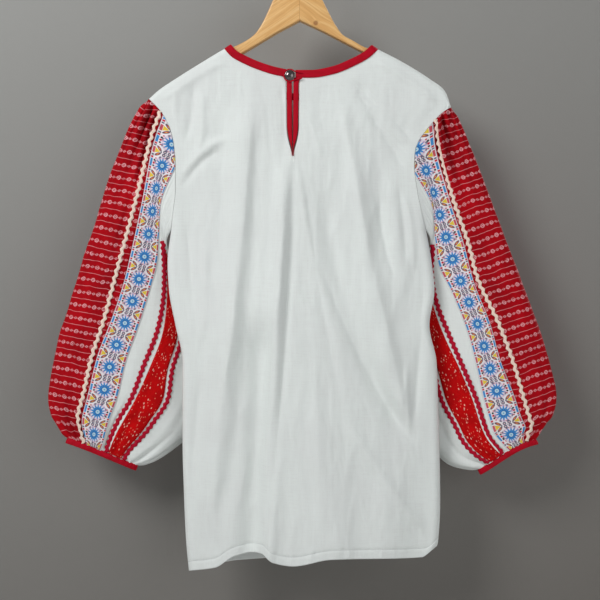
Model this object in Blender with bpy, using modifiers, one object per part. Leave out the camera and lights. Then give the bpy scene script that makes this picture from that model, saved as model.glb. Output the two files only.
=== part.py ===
"""A peasant blouse on a plain wooden hanger, seen from its back.

Tables and lengths are in millimetres, +Z is up and +X is to the right as one faces the back of
the blouse, which looks toward -Y. The origin is where the hook bears on its rod. The outline
tables hold the garment as it is seen square on from SEEN_FROM away, in the plane y = 0, and
true_place brings a point at another depth to where it really lies. On the shoulders, where the
cloth follows the hanger, the tables hold it as it lies.
"""

import math
from collections import namedtuple

import bmesh
import bpy
import numpy as np

METRE = 1000.0
SEEN_FROM = 1300.0
SEEN_HEIGHT = -494.0

# Cloth and trimming
CLOTH = 1.2
RIBBON = 1.0
BRAID = 1.1
BINDING = 2.4
SLIT_BINDING = 2.0
GAP = 0.3
SEAM = 0.4
ARMHOLE_SEAM = 1.6
NECK_SEAM = 0.8
CUFF_SEAM = 0.9
TRIM_GAP = 0.7
NECK_BINDING_WIDTH = 11.0
NECK_BINDING_RISE = 1.0
CUFF_BINDING_WIDTH = 8.0

# Body
SHOULDER_ROLL = 9.0
SHOULDER_SLOPE = math.radians(27)
BOW_PEAK = 6.75
SIDE_SEAM_DEPTH = -10.0
UNDERARM_Z = -395.0
UNDERARM_TOP_Z = -345.0
SEAM_DROP = 165.0
FOLDS_FROM_SIDE = 45.0
SLIT_X = -8.0
SLIT_TOP_Z = -186.0
SLIT_TIP_Z = -291.0
SLIT_CUT_HALF = 9.6
SLIT_TAPER = 40.0
SLIT_OPEN_HALF = (1.6, 0.5)
SLIT_CLOSING = 0.8
SLIT_REACH = 90.0

# Sleeve
GATHER_HEIGHT = 2.0
CUFF_GATHER_REACH = 85.0
HEAD_GATHER_REACH = 90.0
OVERARM_GATHERS = 2
UNDERARM_GATHERS = 4
CUFF_LIP = 1.2
CUFF_SIDES = 28
CUFF_EASE = 0.5
HEAD_GATHER_START = 12.0

# Hanger
WOOD_THICK = 12.0
WOOD_ROUND = 3.5
WOOD_BELOW_CLOTH = 2.3
HOOK_WIRE = 3.6
HOOK_RADIUS = 22.0
SHANK = 8.0

# Button
BUTTON_RADIUS = 7.6
BUTTON_HEIGHT = 5.0
BUTTON_X = -12.0
BUTTON_Z = -182.0
LOOP_WIRE = 1.6
LOOP_END_X = 5.0
LOOP_HALF = 3.6
BUTTON_CLEAR = 1.3

SideRow = namedtuple("SideRow", "z x")
LEFT_SIDE = [
    SideRow(*row)
    for row in (
        (-213, -209), (-220, -202), (-225, -197), (-232, -191), (-242, -185), (-256, -179),
        (-279, -174), (-305, -172), (-340, -172), (-368, -175), (-396, -178), (-441, -183),
        (-480, -181), (-529, -172), (-581, -162), (-692, -162), (-767, -160), (-832, -157),
        (-874, -153),
    )
]
RIGHT_SIDE = [
    SideRow(*row)
    for row in (
        (-225, 213), (-232, 201), (-242, 191), (-256, 179), (-270, 169), (-286, 163), (-305, 162),
        (-340, 166), (-396, 178), (-441, 186), (-480, 190), (-529, 183), (-581, 193),
        (-634, 195), (-767, 198), (-832, 195), (-853, 187),
    )
]

EdgePoint = namedtuple("EdgePoint", "x z")
SHOULDER = [
    EdgePoint(*row)
    for row in (
        (-209, -213), (-194, -200), (-173, -186), (-138, -164), (-103, -143), (-60, -120),
        (4, -90), (65, -119), (111, -144), (142, -160), (184, -186), (205, -203), (213, -225),
    )
]
NECK_LEFT_X = -103.0
NECK_RIGHT_X = 111.0
BACK_NECK = [
    EdgePoint(*row)
    for row in (
        (-103, -143), (-94, -154.5), (-78, -164), (-55, -174), (-28, -182), (-8, -185),
        (18, -185), (48, -180), (78, -168), (99, -156), (111, -144),
    )
]
FRONT_NECK = [
    EdgePoint(*row)
    for row in (
        (-103, -143), (-95, -156), (-84, -171), (-62, -192), (-30, -208), (4, -213), (38, -208),
        (70, -192), (92, -171), (103, -156), (111, -144),
    )
]

HemPoint = namedtuple("HemPoint", "across z")
BACK_HEM = [
    HemPoint(*row)
    for row in (
        (0, -873), (0.105, -869), (0.19, -853), (0.265, -847), (0.3, -849), (0.345, -862),
        (0.43, -867), (0.583, -858), (0.96, -854), (1, -838),
    )
]
FRONT_HEM = [HemPoint(*row) for row in ((0, -873), (0.2, -858), (0.5, -852), (0.8, -848), (1, -838))]

# How far the cloth stands out from the side seams' plane at each height, beyond the shoulder roll
Bulge = namedtuple("Bulge", "z back front")
BULGES = [
    Bulge(*row)
    for row in ((-140, 1, 2), (-220, 3, 8), (-300, 8, 16), (-500, 14, 28), (-700, 19, 36), (-870, 23, 40))
]

# A fold runs through three points. Its height is positive where it stands out
Fold = namedtuple("Fold", "top_x top_z mid_x mid_z low_x low_z height width")
BACK_FOLDS = [
    Fold(-74, -200, -90, -480, -146, -850, 8, 22),
    Fold(-60, -230, -72, -500, -110, -820, -5, 13),
    Fold(-51, -500, -58, -700, -70, -900, -16, 18),
    Fold(-18, -280, -30, -520, -43, -900, 9, 12),
    Fold(33, -320, 75, -522, 162, -707, -6, 12),
    Fold(80, -284, 105, -490, 159, -690, 6, 15),
    Fold(111, -250, 117, -354, 122, -460, -3, 13),
    Fold(136, -312, 139, -410, 148, -500, 3, 13),
    Fold(-107, -220, -102, -312, -107, -410, -3, 15),
    Fold(20, -620, 40, -740, 60, -900, 5, 24),
    Fold(125, -720, 128, -800, 130, -900, 5, 22),
]
FRONT_FOLDS = [
    Fold(90, -260, 100, -520, 130, -900, 8, 24),
    Fold(45, -300, 52, -540, 70, -900, -7, 16),
    Fold(5, -260, 0, -520, -15, -900, 8, 22),
    Fold(-50, -300, -58, -540, -66, -900, -6, 16),
    Fold(-95, -260, -100, -520, -112, -900, 7, 20),
]
FOLD_FADE = 70.0

# Each row runs from the top fold of the sleeve to its inner fold, and the last is the cuff
SleeveRow = namedtuple("SleeveRow", "outer_x outer_z inner_x inner_z bow half_depth inner_y")
LEFT_SLEEVE = [
    SleeveRow(*row)
    for row in (
        (-209, -213, -178, -395, 0, 9, -10), (-232, -249, -185, -412, 20, 11, 9),
        (-261, -319, -179, -438, 15, 13, 21), (-282, -382, -163, -476, 9, 16, 32),
        (-303, -445, -150, -515, 4, 19, 36), (-321, -503, -144, -557, 0, 22, 36),
        (-338, -560, -138, -599, 0, 23, 36), (-348, -620, -136, -638, 0, 22, 35),
        (-345, -650, -144, -669, 0, 20, 32), (-338, -664, -162, -691, 0, 17, 28),
        (-330, -676, -198, -715, 0, 13, 22), (-322, -687, -226, -725, 1, 11, 18),
    )
]
RIGHT_SLEEVE = [
    SleeveRow(*row)
    for row in (
        (213, -225, 178, -395, 0, 9, -10), (232, -263, 185, -412, 21, 11, 9),
        (262, -337, 179, -440, 17, 13, 21), (282, -391, 163, -479, 8, 16, 32),
        (303, -445, 155, -519, 4, 19, 36), (327, -505, 159, -560, 0, 22, 36),
        (346, -567, 163, -601, 0, 23, 36), (359, -620, 166, -640, 0, 22, 35),
        (355, -652, 173, -673, 0, 20, 32), (345, -665, 188, -701, 0, 17, 28),
        (338, -676, 212, -723, 2.5, 13, 22), (331, -689, 252, -731, 5, 11, 18),
    )
]
OUTER_Y = 4.0

# Where the trimming lies across a half sleeve, as fractions from the top fold to the inner fold
StripRow = namedtuple("StripRow", "cream ribbon white braid_1 dots white_2 braid_2")
LEFT_STRIPS = [
    StripRow(*row)
    for row in (
        (0.085, 0.124, 0.53, 0.60, 0.66, 0.78, 0.80), (0.165, 0.22, 0.66, 0.74, 0.79, 0.88, 0.895),
        (0.25, 0.36, 0.75, 0.835, 0.88, 0.93, 0.942), (0.265, 0.38, 0.68, 0.76, 0.81, 0.90, 0.915),
        (0.26, 0.375, 0.605, 0.72, 0.77, 0.875, 0.89), (0.26, 0.335, 0.545, 0.675, 0.735, 0.85, 0.865),
        (0.235, 0.285, 0.485, 0.595, 0.655, 0.775, 0.79), (0.21, 0.254, 0.45, 0.525, 0.57, 0.745, 0.76),
        (0.17, 0.215, 0.405, 0.455, 0.505, 0.68, 0.695), (0.16, 0.20, 0.395, 0.435, 0.48, 0.66, 0.675),
        (0.19, 0.23, 0.43, 0.47, 0.515, 0.68, 0.695), (0.21, 0.26, 0.46, 0.53, 0.58, 0.77, 0.785),
    )
]
RIGHT_STRIPS = [
    StripRow(*row)
    for row in (
        (0.085, 0.124, 0.56, 0.64, 0.70, 0.82, 0.84), (0.165, 0.22, 0.68, 0.76, 0.81, 0.90, 0.915),
        (0.28, 0.34, 0.78, 0.85, 0.895, 0.94, 0.95), (0.31, 0.37, 0.69, 0.775, 0.82, 0.91, 0.925),
        (0.32, 0.375, 0.58, 0.72, 0.77, 0.875, 0.89), (0.27, 0.355, 0.545, 0.675, 0.73, 0.855, 0.87),
        (0.225, 0.345, 0.53, 0.615, 0.66, 0.82, 0.835), (0.213, 0.30, 0.52, 0.558, 0.60, 0.785, 0.80),
        (0.157, 0.24, 0.48, 0.515, 0.558, 0.72, 0.735), (0.10, 0.175, 0.45, 0.488, 0.53, 0.70, 0.715),
        (0.115, 0.18, 0.42, 0.475, 0.52, 0.69, 0.705), (0.10, 0.17, 0.44, 0.53, 0.58, 0.77, 0.785),
    )
]
BRAID_SHARE = 0.032

# Cells across each strip, from the top fold to the inner fold
StripCells = namedtuple("StripCells", "red cream red_edge ribbon white braid_1 gap dots gap_2 braid_2 under")
CELLS = StripCells(4, 1, 1, 4, 1, 1, 1, 2, 1, 1, 4)

WoodRow = namedtuple("WoodRow", "x z")
WOOD_CROWN = [
    WoodRow(*row)
    for row in (
        (-90, -140.5), (-62, -124), (-53, -112), (-42, -90), (-35, -74), (-30, -65), (-22, -60),
        (0, -58), (22, -60), (28, -65), (33, -74), (40, -88), (51, -109), (62, -124), (76, -132),
        (92, -141),
    )
]
WOOD_ARM_X = (-184, -165, -138, -103)
WOOD_RIGHT_ARM_X = (111, 142, 168, 185)
WOOD_UNDERSIDE = [
    WoodRow(*row)
    for row in (
        (-184, -216), (-173, -209), (-138, -187), (-78, -150), (-30, -121), (2, -104),
        (34, -119), (90, -148), (142, -183), (172, -201), (185, -209.5),
    )
]


def smooth_curve(points):
    """A curve through points, ordered by their first value, that doesn't overshoot between them."""
    rows = sorted(tuple(point)[:2] for point in points)
    xs = np.array([row[0] for row in rows], float)
    ys = np.array([row[1] for row in rows], float)
    run = np.diff(xs)
    slope = np.diff(ys) / run
    tangent = np.zeros(len(xs))
    tangent[0], tangent[-1] = slope[0], slope[-1]
    for i in range(1, len(xs) - 1):
        if slope[i - 1] * slope[i] > 0:
            before = run[i - 1] + 2 * run[i]
            after = 2 * run[i - 1] + run[i]
            tangent[i] = (before + after) / (before / slope[i - 1] + after / slope[i])

    def at(x):
        x = np.clip(np.asarray(x, float), xs[0], xs[-1])
        i = np.clip(np.searchsorted(xs, x) - 1, 0, len(run) - 1)
        t = (x - xs[i]) / run[i]
        left = ys[i] * (1 + 2 * t) * (1 - t) ** 2 + tangent[i] * run[i] * t * (1 - t) ** 2
        right = ys[i + 1] * t * t * (3 - 2 * t) + tangent[i + 1] * run[i] * t * t * (t - 1)
        return left + right

    return at


def smoothstep(low, high, value):
    t = np.clip((value - low) / (high - low), 0, 1)
    return t * t * (3 - 2 * t)


def arc_rise(distance, radius):
    """0 at an edge, rising as a quarter circle to 1 at one radius from it."""
    inward = np.clip(1 - distance / radius, 0, 1)
    return np.sqrt(1 - inward * inward)


left_side = smooth_curve(LEFT_SIDE)
right_side = smooth_curve(RIGHT_SIDE)
shoulder = smooth_curve(SHOULDER)
back_neck = smooth_curve(BACK_NECK)
front_neck = smooth_curve(FRONT_NECK)
back_hem = smooth_curve(BACK_HEM)
front_hem = smooth_curve(FRONT_HEM)
back_bulge = smooth_curve([(row.z, row.back) for row in BULGES])
front_bulge = smooth_curve([(row.z, row.front) for row in BULGES])
LEFT_TIP_X, RIGHT_TIP_X = SHOULDER[0].x, SHOULDER[-1].x


def true_place(points):
    """Moves points from where they are seen, in the plane y = 0, to where they lie at their depth."""
    off_hanger = smoothstep(-185, -260, points[..., 2:3])
    scale = 1 + points[..., 1:2] / SEEN_FROM * off_hanger
    centre = np.array([0.0, 0.0, SEEN_HEIGHT])
    moved = centre + (points - centre) * scale
    moved[..., 1] = points[..., 1]
    return moved


def seam_depth(z):
    """The y where front and back meet: below the arms it lies nearer the back than the sleeves do."""
    return SIDE_SEAM_DEPTH * smoothstep(UNDERARM_Z, UNDERARM_Z - SEAM_DROP, z)


def fold_height(folds, x, z):
    total = np.zeros_like(x)
    for fold in folds:
        span = fold.top_z - fold.low_z
        t = (fold.top_z - z) / span
        mid = (fold.top_z - fold.mid_z) / span
        bend = (fold.mid_x - fold.top_x - (fold.low_x - fold.top_x) * mid) / (mid * (1 - mid))
        path = fold.top_x + (fold.low_x - fold.top_x) * t + bend * t * (1 - t)
        lean = (fold.low_x - fold.top_x) / span
        across = (x - path) / (fold.width * math.hypot(1, lean))
        ends = smoothstep(0, FOLD_FADE, fold.top_z - z) * smoothstep(0, FOLD_FADE, z - fold.low_z)
        total += fold.height * np.exp(-across * across) * ends
    return total


def body_depth(face, x, z, across):
    """The y of the back (face -1) or front (face 1) at a seen place, across being 0 to 1."""
    left, right = left_side(z), right_side(z)
    side = np.minimum(x - left, right - x)
    closing = 1 - np.sqrt(1 - np.clip((UNDERARM_TOP_Z - z) / (UNDERARM_TOP_Z - UNDERARM_Z), 0, 1) ** 2)
    rim = 1 + (arc_rise(side, SHOULDER_ROLL) - 1) * closing
    ridge = arc_rise(shoulder(x) - z, SHOULDER_ROLL)
    centred = np.clip(2 * across - 1, -1, 1)
    if face < 0:
        bulge, folds = back_bulge(z), BACK_FOLDS
    else:
        bulge, folds = front_bulge(z), FRONT_FOLDS
    swell = (bulge * (1 - centred**2) ** 1.5 + fold_height(folds, x, z)) * smoothstep(0, FOLDS_FROM_SIDE, side)
    return seam_depth(z) + face * (SEAM / 2 + SHOULDER_ROLL * rim * ridge + swell * ridge)


def slit_half(z):
    """Half the width of the cut for the slit and its bindings, which narrows to a point."""
    height = np.clip((z - SLIT_TIP_Z) / (SLIT_TOP_Z - SLIT_TIP_Z), 0, 1)
    above = SLIT_CUT_HALF - SLIT_CLOSING * (1 - height)
    return above * np.sin(math.pi / 2 * np.clip((z - SLIT_TIP_Z) / SLIT_TAPER, 0, 1))


def body_grid(face, columns, drops, slit=None):
    """Points of the back or front, as rows from its top edge to its hem. slit names two columns."""
    across = np.asarray(columns)[None, :]
    top_x = LEFT_TIP_X + (RIGHT_TIP_X - LEFT_TIP_X) * across
    neck = back_neck if face < 0 else front_neck
    in_neck = (top_x > NECK_LEFT_X) & (top_x < NECK_RIGHT_X)
    top = np.where(in_neck, neck(top_x), shoulder(top_x))
    hem = back_hem(across) if face < 0 else front_hem(across)
    z = top + (hem - top) * np.asarray(drops)[:, None]
    left, right = left_side(z), right_side(z)
    x = left + (right - left) * across
    if slit:
        below = smoothstep(SLIT_TIP_Z, SLIT_TIP_Z - SLIT_REACH, z)
        for column, sign in zip(slit, (-1, 1)):
            cut = SLIT_X + sign * slit_half(z[:, column])
            x[:, column] = cut + (x[:, column] - cut) * below[:, column]
    y = body_depth(face, x, z, (x - left) / (right - left))
    return true_place(np.stack([x, y, z], axis=-1))


def armhole(side, share, face):
    """The sleeve's seam on the body: share runs from the shoulder point to the underarm."""
    rows = LEFT_SLEEVE if side < 0 else RIGHT_SLEEVE
    z = rows[0].outer_z + (rows[0].inner_z - rows[0].outer_z) * share
    edge = left_side(z) if side < 0 else right_side(z)
    y = body_depth(face, edge, z, np.full_like(z, 0.0 if side < 0 else 1.0))
    return np.stack([edge + side * ARMHOLE_SEAM, y, z], axis=-1)


def between(start, end, cells, power=1.0):
    """Fractions that split start to end into cells, closer together near start where power is over 1."""
    return start + (end - start) * np.linspace(0, 1, cells + 1)[:-1] ** power


def strip_shares(row):
    """Column places over one half sleeve, from the top fold to the inner fold."""
    cream_end = row.cream + (row.ribbon - row.cream) * 0.55
    parts = [
        between(0, row.cream, CELLS.red, 2.0),
        between(row.cream, cream_end, CELLS.cream),
        between(cream_end, row.ribbon, CELLS.red_edge),
        between(row.ribbon, row.white, CELLS.ribbon),
        between(row.white, row.braid_1, CELLS.white),
        between(row.braid_1, row.braid_1 + BRAID_SHARE, CELLS.braid_1),
        between(row.braid_1 + BRAID_SHARE, row.dots, CELLS.gap),
        between(row.dots, row.white_2, CELLS.dots),
        between(row.white_2, row.braid_2, CELLS.gap_2),
        between(row.braid_2, row.braid_2 + BRAID_SHARE, CELLS.braid_2),
        1 - (1 - row.braid_2 - BRAID_SHARE) * np.linspace(1, 0, CELLS.under + 1) ** 1.3,
    ]
    return np.concatenate(parts)


HALF_COLUMNS = sum(CELLS)
STARTS = StripCells(*(int(start) for start in np.concatenate([[0], np.cumsum(CELLS)[:-1]])))
SLEEVE_ROWS = (0, 0.5, 1, 2, 3, 4, 5, 6, 7, 8, 9, 9.6, 10.3, 11)

# first_row counts in SLEEVE_ROWS
Trim = namedtuple("Trim", "name strip thickness material first_row")
TRIMS = [
    Trim("ribbon", "ribbon", RIBBON, "ribbon", 0),
    Trim("dotted_band", "dots", RIBBON, "dots", 3),
    Trim("cream_ricrac", "cream", BRAID, "cream", 0),
    Trim("red_ricrac_outer", "braid_1", BRAID, "red", 3),
    Trim("red_ricrac_inner", "braid_2", BRAID, "red", 3),
]


def through_rows(keys, at):
    """Points between key rows, on smooth curves through them."""
    last = len(keys) - 1
    rows = []
    for value in at:
        i = min(int(value), last - 1)
        t = value - i
        p1, p2 = keys[i], keys[i + 1]
        p0 = keys[i - 1] if i > 0 else 2 * p1 - p2
        p3 = keys[i + 2] if i + 2 <= last else 2 * p2 - p1
        rows.append(
            p1 + 0.5 * t * (p2 - p0 + t * (2 * p0 - 5 * p1 + 4 * p2 - p3 + t * (3 * (p1 - p2) + p3 - p0)))
        )
    return np.array(rows)


def row_line(row, side, share):
    """The seen x and z along a sleeve's row, which bows up towards the shoulder."""
    run_x, run_z = row.inner_x - row.outer_x, row.inner_z - row.outer_z
    lift = row.bow * BOW_PEAK * share * (1 - share) ** 2 * side / math.hypot(run_x, run_z)
    return row.outer_x + run_x * share + run_z * lift, row.outer_z + run_z * share - run_x * lift


def sleeve_face(side, face, at):
    """One half of a sleeve, back (face -1) or front (face 1), before its gathers."""
    table, strips = (LEFT_SLEEVE, LEFT_STRIPS) if side < 0 else (RIGHT_SLEEVE, RIGHT_STRIPS)
    keys = []
    for number, (row, strip) in enumerate(zip(table, strips)):
        share = strip_shares(strip)
        if number == 0:
            keys.append(armhole(side, share, face))
            continue
        x, z = row_line(row, side, share)
        round_off = (4 * share * (1 - share)) ** 0.35
        middle = OUTER_Y + (row.inner_y - OUTER_Y) * share
        keys.append(np.stack([x, middle + face * row.half_depth * round_off, z], axis=-1))
    return through_rows(keys, at)


def normals_of(grid):
    """Unit normals of a grid of points, one at each point."""
    down = np.gradient(grid, axis=0)
    along = np.gradient(grid, axis=1)
    normal = np.cross(along, down)
    return normal / np.maximum(np.linalg.norm(normal, axis=-1, keepdims=True), 1e-9)


def gather_waves(grid):
    """Waves across a sleeve, from -1 to 1, level at its seams: a few over the arm, more under it."""
    half = grid[-1, HALF_COLUMNS:]
    run = np.concatenate([[0], np.cumsum(np.linalg.norm(np.diff(half, axis=0), axis=1))])
    seam = run[STARTS.ribbon]
    over = np.sin(2 * math.pi * OVERARM_GATHERS * run / seam)
    under = np.sin(2 * math.pi * UNDERARM_GATHERS * (run - seam) / (run[-1] - seam))
    wave = np.where(run <= seam, over, under)
    return np.concatenate([wave[:0:-1], wave])


def sleeve_grid(side, at):
    """A whole sleeve as one grid, with its outward directions and the way its cuff faces.

    Columns run from the front's inner fold over the top to the back's, and rows down to the cuff.
    """
    back = sleeve_face(side, -1, at)
    front = sleeve_face(side, 1, at)
    grid = np.concatenate([front[:, :0:-1], back], axis=1)
    outward = side * normals_of(grid)
    chord = grid[-1, 0] - grid[-1, HALF_COLUMNS]
    way = np.array([chord[2], 0.0, -chord[0]]) * -side / np.hypot(chord[0], chord[2])
    outward[-1] -= (outward[-1] @ way)[:, None] * way
    outward[-1] /= np.linalg.norm(outward[-1], axis=1, keepdims=True)
    from_cuff = np.linalg.norm(grid - grid[-1:], axis=-1)
    from_head = np.linalg.norm(grid - grid[:1], axis=-1)
    column = np.abs(np.arange(grid.shape[1]) - HALF_COLUMNS)
    cuff = np.exp(-((from_cuff / CUFF_GATHER_REACH) ** 2))
    head = np.exp(-((from_head / HEAD_GATHER_REACH) ** 2)) * smoothstep(0, HEAD_GATHER_START, from_head)
    head_share = 1 - smoothstep(STARTS.ribbon, STARTS.dots, column)
    height = GATHER_HEIGHT * gather_waves(grid) * (cuff + head * head_share)
    rim = grid[-1]
    grid = true_place(grid + outward * height[..., None])
    grid = np.concatenate([grid, grid[-1:] + way * CUFF_LIP], axis=0)
    outward = np.concatenate([outward, outward[-1:]], axis=0)
    return grid, outward, rim, way


def new_material(name, colour, roughness, metallic=0.0):
    material = bpy.data.materials.new(name)
    material.use_nodes = True
    shader = material.node_tree.nodes["Principled BSDF"]
    shader.inputs["Base Color"].default_value = (*colour, 1.0)
    shader.inputs["Roughness"].default_value = roughness
    shader.inputs["Metallic"].default_value = metallic
    material.diffuse_color = (*colour, 1.0)
    return material


def finish(obj, material):
    obj.data.materials.append(material)
    for other in list(obj.users_collection):
        other.objects.unlink(obj)
    garment.objects.link(obj)
    return obj


def patch(name, grid, thickness, material, cut=None, ring=False):
    """A sewn piece: a grid laid on the points, with the thickness of its cloth.

    cut names cells to drop, and a ring is closed where its last column lies on its first.
    """
    rows, columns = grid.shape[:2]
    mesh = bpy.data.meshes.new(name)
    sheet = bmesh.new()
    bmesh.ops.create_grid(sheet, x_segments=columns - 1, y_segments=rows - 1, size=0.5)
    for vertex in sheet.verts:
        column = round((vertex.co.x + 0.5) * (columns - 1))
        row = round((vertex.co.y + 0.5) * (rows - 1))
        vertex.co = grid[row, column] / METRE
        vertex.index = row * columns + column
    if cut:
        gone = [face for face in sheet.faces if cut(face, columns)]
        bmesh.ops.delete(sheet, geom=gone, context="FACES")
    if ring:
        bmesh.ops.remove_doubles(sheet, verts=sheet.verts, dist=0.00001)
    for face in sheet.faces:
        face.smooth = True
    sheet.to_mesh(mesh)
    sheet.free()
    obj = bpy.data.objects.new(name, mesh)
    bpy.context.collection.objects.link(obj)
    shell = obj.modifiers.new("Thickness", "SOLIDIFY")
    shell.thickness = thickness / METRE
    shell.offset = 0.0
    return finish(obj, material)


def edge_columns():
    """Places across the body, closer together where the cloth turns at a seam or meets the neck."""
    width = RIGHT_TIP_X - LEFT_TIP_X
    turn = np.array([0.0, 0.6, 3.0, SHOULDER_ROLL]) / width
    neck_left = (NECK_LEFT_X - LEFT_TIP_X) / width
    neck_right = (NECK_RIGHT_X - LEFT_TIP_X) / width
    near_neck = np.array([0.0, 2.2, 6.0]) / width
    return turn, neck_left, neck_right, near_neck, width


def back_columns():
    turn, neck_left, neck_right, near_neck, width = edge_columns()
    slit_left = (SLIT_X - SLIT_CUT_HALF - LEFT_TIP_X) / width
    slit_right = (SLIT_X + SLIT_CUT_HALF - LEFT_TIP_X) / width
    columns = np.concatenate([
        turn[:-1],
        between(turn[-1], neck_left, 7),
        neck_left + near_neck[:-1],
        between(neck_left + near_neck[-1], slit_left, 5),
        [slit_left],
        between(slit_right, neck_right - near_neck[-1], 6),
        neck_right - near_neck[::-1],
        between(neck_right, 1 - turn[-1], 7)[1:],
        1 - turn[::-1],
    ])
    return columns, int(np.argmin(abs(columns - slit_left)))


def front_columns():
    turn, neck_left, neck_right, near_neck, _ = edge_columns()
    return np.concatenate([
        turn[:-1],
        between(turn[-1], neck_left, 5),
        neck_left + near_neck[:-1],
        between(neck_left + near_neck[-1], neck_right - near_neck[-1], 8),
        neck_right - near_neck[::-1],
        between(neck_right, 1 - turn[-1], 5)[1:],
        1 - turn[::-1],
    ])


def as_shares(lengths):
    """Row places as shares of the way from the top edge to the hem."""
    return np.array(lengths, float) / lengths[-1]


BACK_LENGTH = 677.0
BACK_DROPS = as_shares([
    0, 0.6, 3, 9, 15, 23, 34, 48, 64, 80, 92, 102, 118, 140, 170, 208, 252, 302, 358, 420,
    486, 552, 616, BACK_LENGTH,
])
FRONT_DROPS = as_shares([
    0, 0.6, 3, 9, 17, 30, 48, 64, 80, 102, 134, 170, 208, 252, 302, 358, 420, 486, 552, 616,
    BACK_LENGTH,
])
SLIT_TIP_ROW = 11


def build_body(white):
    columns, slit = back_columns()
    back = body_grid(-1, columns, BACK_DROPS, (slit, slit + 1))

    def in_slit(face, count):
        corners = [divmod(vertex.index, count) for vertex in face.verts]
        rows = [row for row, _ in corners]
        return {column for _, column in corners} == {slit, slit + 1} and max(rows) <= SLIT_TIP_ROW

    patch("back_panel", back, CLOTH, white, in_slit)
    front = body_grid(1, front_columns(), FRONT_DROPS)
    patch("front_panel", front, CLOTH, white)
    return back, front, slit


def build_slit_bindings(back, slit, red):
    """A flat band down each side of the slit, meeting in a point at its foot."""
    rows = [0, *range(3, SLIT_TIP_ROW + 1)]
    share = np.linspace(0, 1, len(rows))
    opening = SLIT_OPEN_HALF[0] + (SLIT_OPEN_HALF[1] - SLIT_OPEN_HALF[0]) * share
    for name, column, sign in (("slit_binding_left", slit, -1), ("slit_binding_right", slit + 1, 1)):
        outer = back[rows, column].copy()
        inner = outer.copy()
        inner[:, 0] = SLIT_X + sign * opening
        outer[:, 0] -= sign * SEAM
        outer[-1, 0] = SLIT_X + sign * (SLIT_OPEN_HALF[1] + 1.2)
        band = np.stack([outer, (outer + inner) / 2, inner], axis=1)
        band[..., 1] -= (SLIT_BINDING - CLOTH) / 4
        band[-1, :, 2] += 1.5
        band[0, :, 2] -= SEAM
        patch(name, band, SLIT_BINDING, red)


def neck_path(back, front, slit):
    """Points and outward normals along the neck edge, from the slit's right side round to its left."""
    back_columns_found, _ = back_columns()
    front_found = front_columns()
    width = RIGHT_TIP_X - LEFT_TIP_X
    low = (NECK_LEFT_X - LEFT_TIP_X) / width
    high = (NECK_RIGHT_X - LEFT_TIP_X) / width
    back_in = [i for i, c in enumerate(back_columns_found) if low - 1e-9 <= c <= high + 1e-9]
    front_in = [i for i, c in enumerate(front_found) if low + 1e-9 < c < high - 1e-9]
    back_out = -normals_of(back)
    front_out = normals_of(front)
    right = [i for i in back_in if i > slit]
    left = [i for i in back_in if i <= slit]
    points = [*back[0, right], *front[0, front_in[::-1]], *back[0, left]]
    outward = [*back_out[0, right], *front_out[0, front_in[::-1]], *back_out[0, left]]
    points, outward = np.array(points), np.array(outward)
    for corner, side in ((len(right) - 1, 1), (len(right) + len(front_in), -1)):
        points[corner, 1] = 0.0
        outward[corner] = (side * math.sin(SHOULDER_SLOPE), 0.0, math.cos(SHOULDER_SLOPE))
    return points, outward


def build_neck_binding(back, front, slit, red):
    points, outward = neck_path(back, front, slit)
    along = np.gradient(points, axis=0)
    along /= np.linalg.norm(along, axis=1, keepdims=True)
    inward = np.cross(outward, along)
    inward /= np.linalg.norm(inward, axis=1, keepdims=True)
    rise = outward * NECK_BINDING_RISE
    widths = (NECK_SEAM, NECK_BINDING_WIDTH / 2, NECK_BINDING_WIDTH)
    rows = [points + inward * width + rise for width in widths]
    patch("neck_binding", np.stack(rows, axis=0), BINDING, red)


def seamed(grid):
    """A panel's points with its first and last column drawn in by half a seam."""
    panel = grid.copy()
    for edge, inner in ((0, 1), (-1, -2)):
        step = panel[:, inner] - panel[:, edge]
        panel[:, edge] += step / np.linalg.norm(step, axis=-1, keepdims=True) * SEAM / 2
    return panel


def build_sleeve(side, materials):
    name = "left" if side < 0 else "right"
    grid, outward, rim, way = sleeve_grid(side, SLEEVE_ROWS)
    middle = HALF_COLUMNS
    over_start, over_end = middle - STARTS.ribbon, middle + STARTS.ribbon
    overarm = seamed(grid[:, over_start : over_end + 1])
    patch(f"{name}_overarm_panel", overarm, CLOTH, materials["stripe"])
    underarm = seamed(np.concatenate([grid[:, over_end:], grid[:, 1 : over_start + 1]], axis=1))
    patch(f"{name}_underarm_panel", underarm, CLOTH, materials["white"])

    for trim in TRIMS:
        start = getattr(STARTS, trim.strip)
        end = start + getattr(CELLS, trim.strip)
        lift = CLOTH / 2 + TRIM_GAP + trim.thickness / 2
        lifted = grid + outward * lift
        rows = slice(trim.first_row, -1)
        back = lifted[rows, middle + start : middle + end + 1]
        front = lifted[rows, middle - end : middle - start + 1]
        patch(f"{name}_{trim.name}_back", back, trim.thickness, materials[trim.material])
        patch(f"{name}_{trim.name}_front", front, trim.thickness, materials[trim.material])

    turn = np.linspace(0, 2 * math.pi, CUFF_SIDES + 1)
    share = (1 - np.cos(turn)) / 2
    outer, inner = rim[middle], rim[0]
    loop = outer + (inner - outer) * share[:, None]
    last = (LEFT_SLEEVE if side < 0 else RIGHT_SLEEVE)[-1]
    loop[:, 0], loop[:, 2] = row_line(last, side, share)
    round_off = np.abs(np.sin(turn)) ** 0.7 * np.sign(np.sin(turn))
    loop[:, 1] += (last.half_depth - CUFF_EASE) * round_off
    loop[-1] = loop[0]
    loop = true_place(loop)
    heights = (CUFF_LIP + CUFF_SEAM, CUFF_LIP + CUFF_BINDING_WIDTH / 2, CUFF_LIP + CUFF_BINDING_WIDTH)
    cuff = np.stack([loop + way * height for height in heights], axis=0)
    patch(f"{name}_cuff_binding", cuff, BINDING, materials["red"], ring=True)


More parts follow.
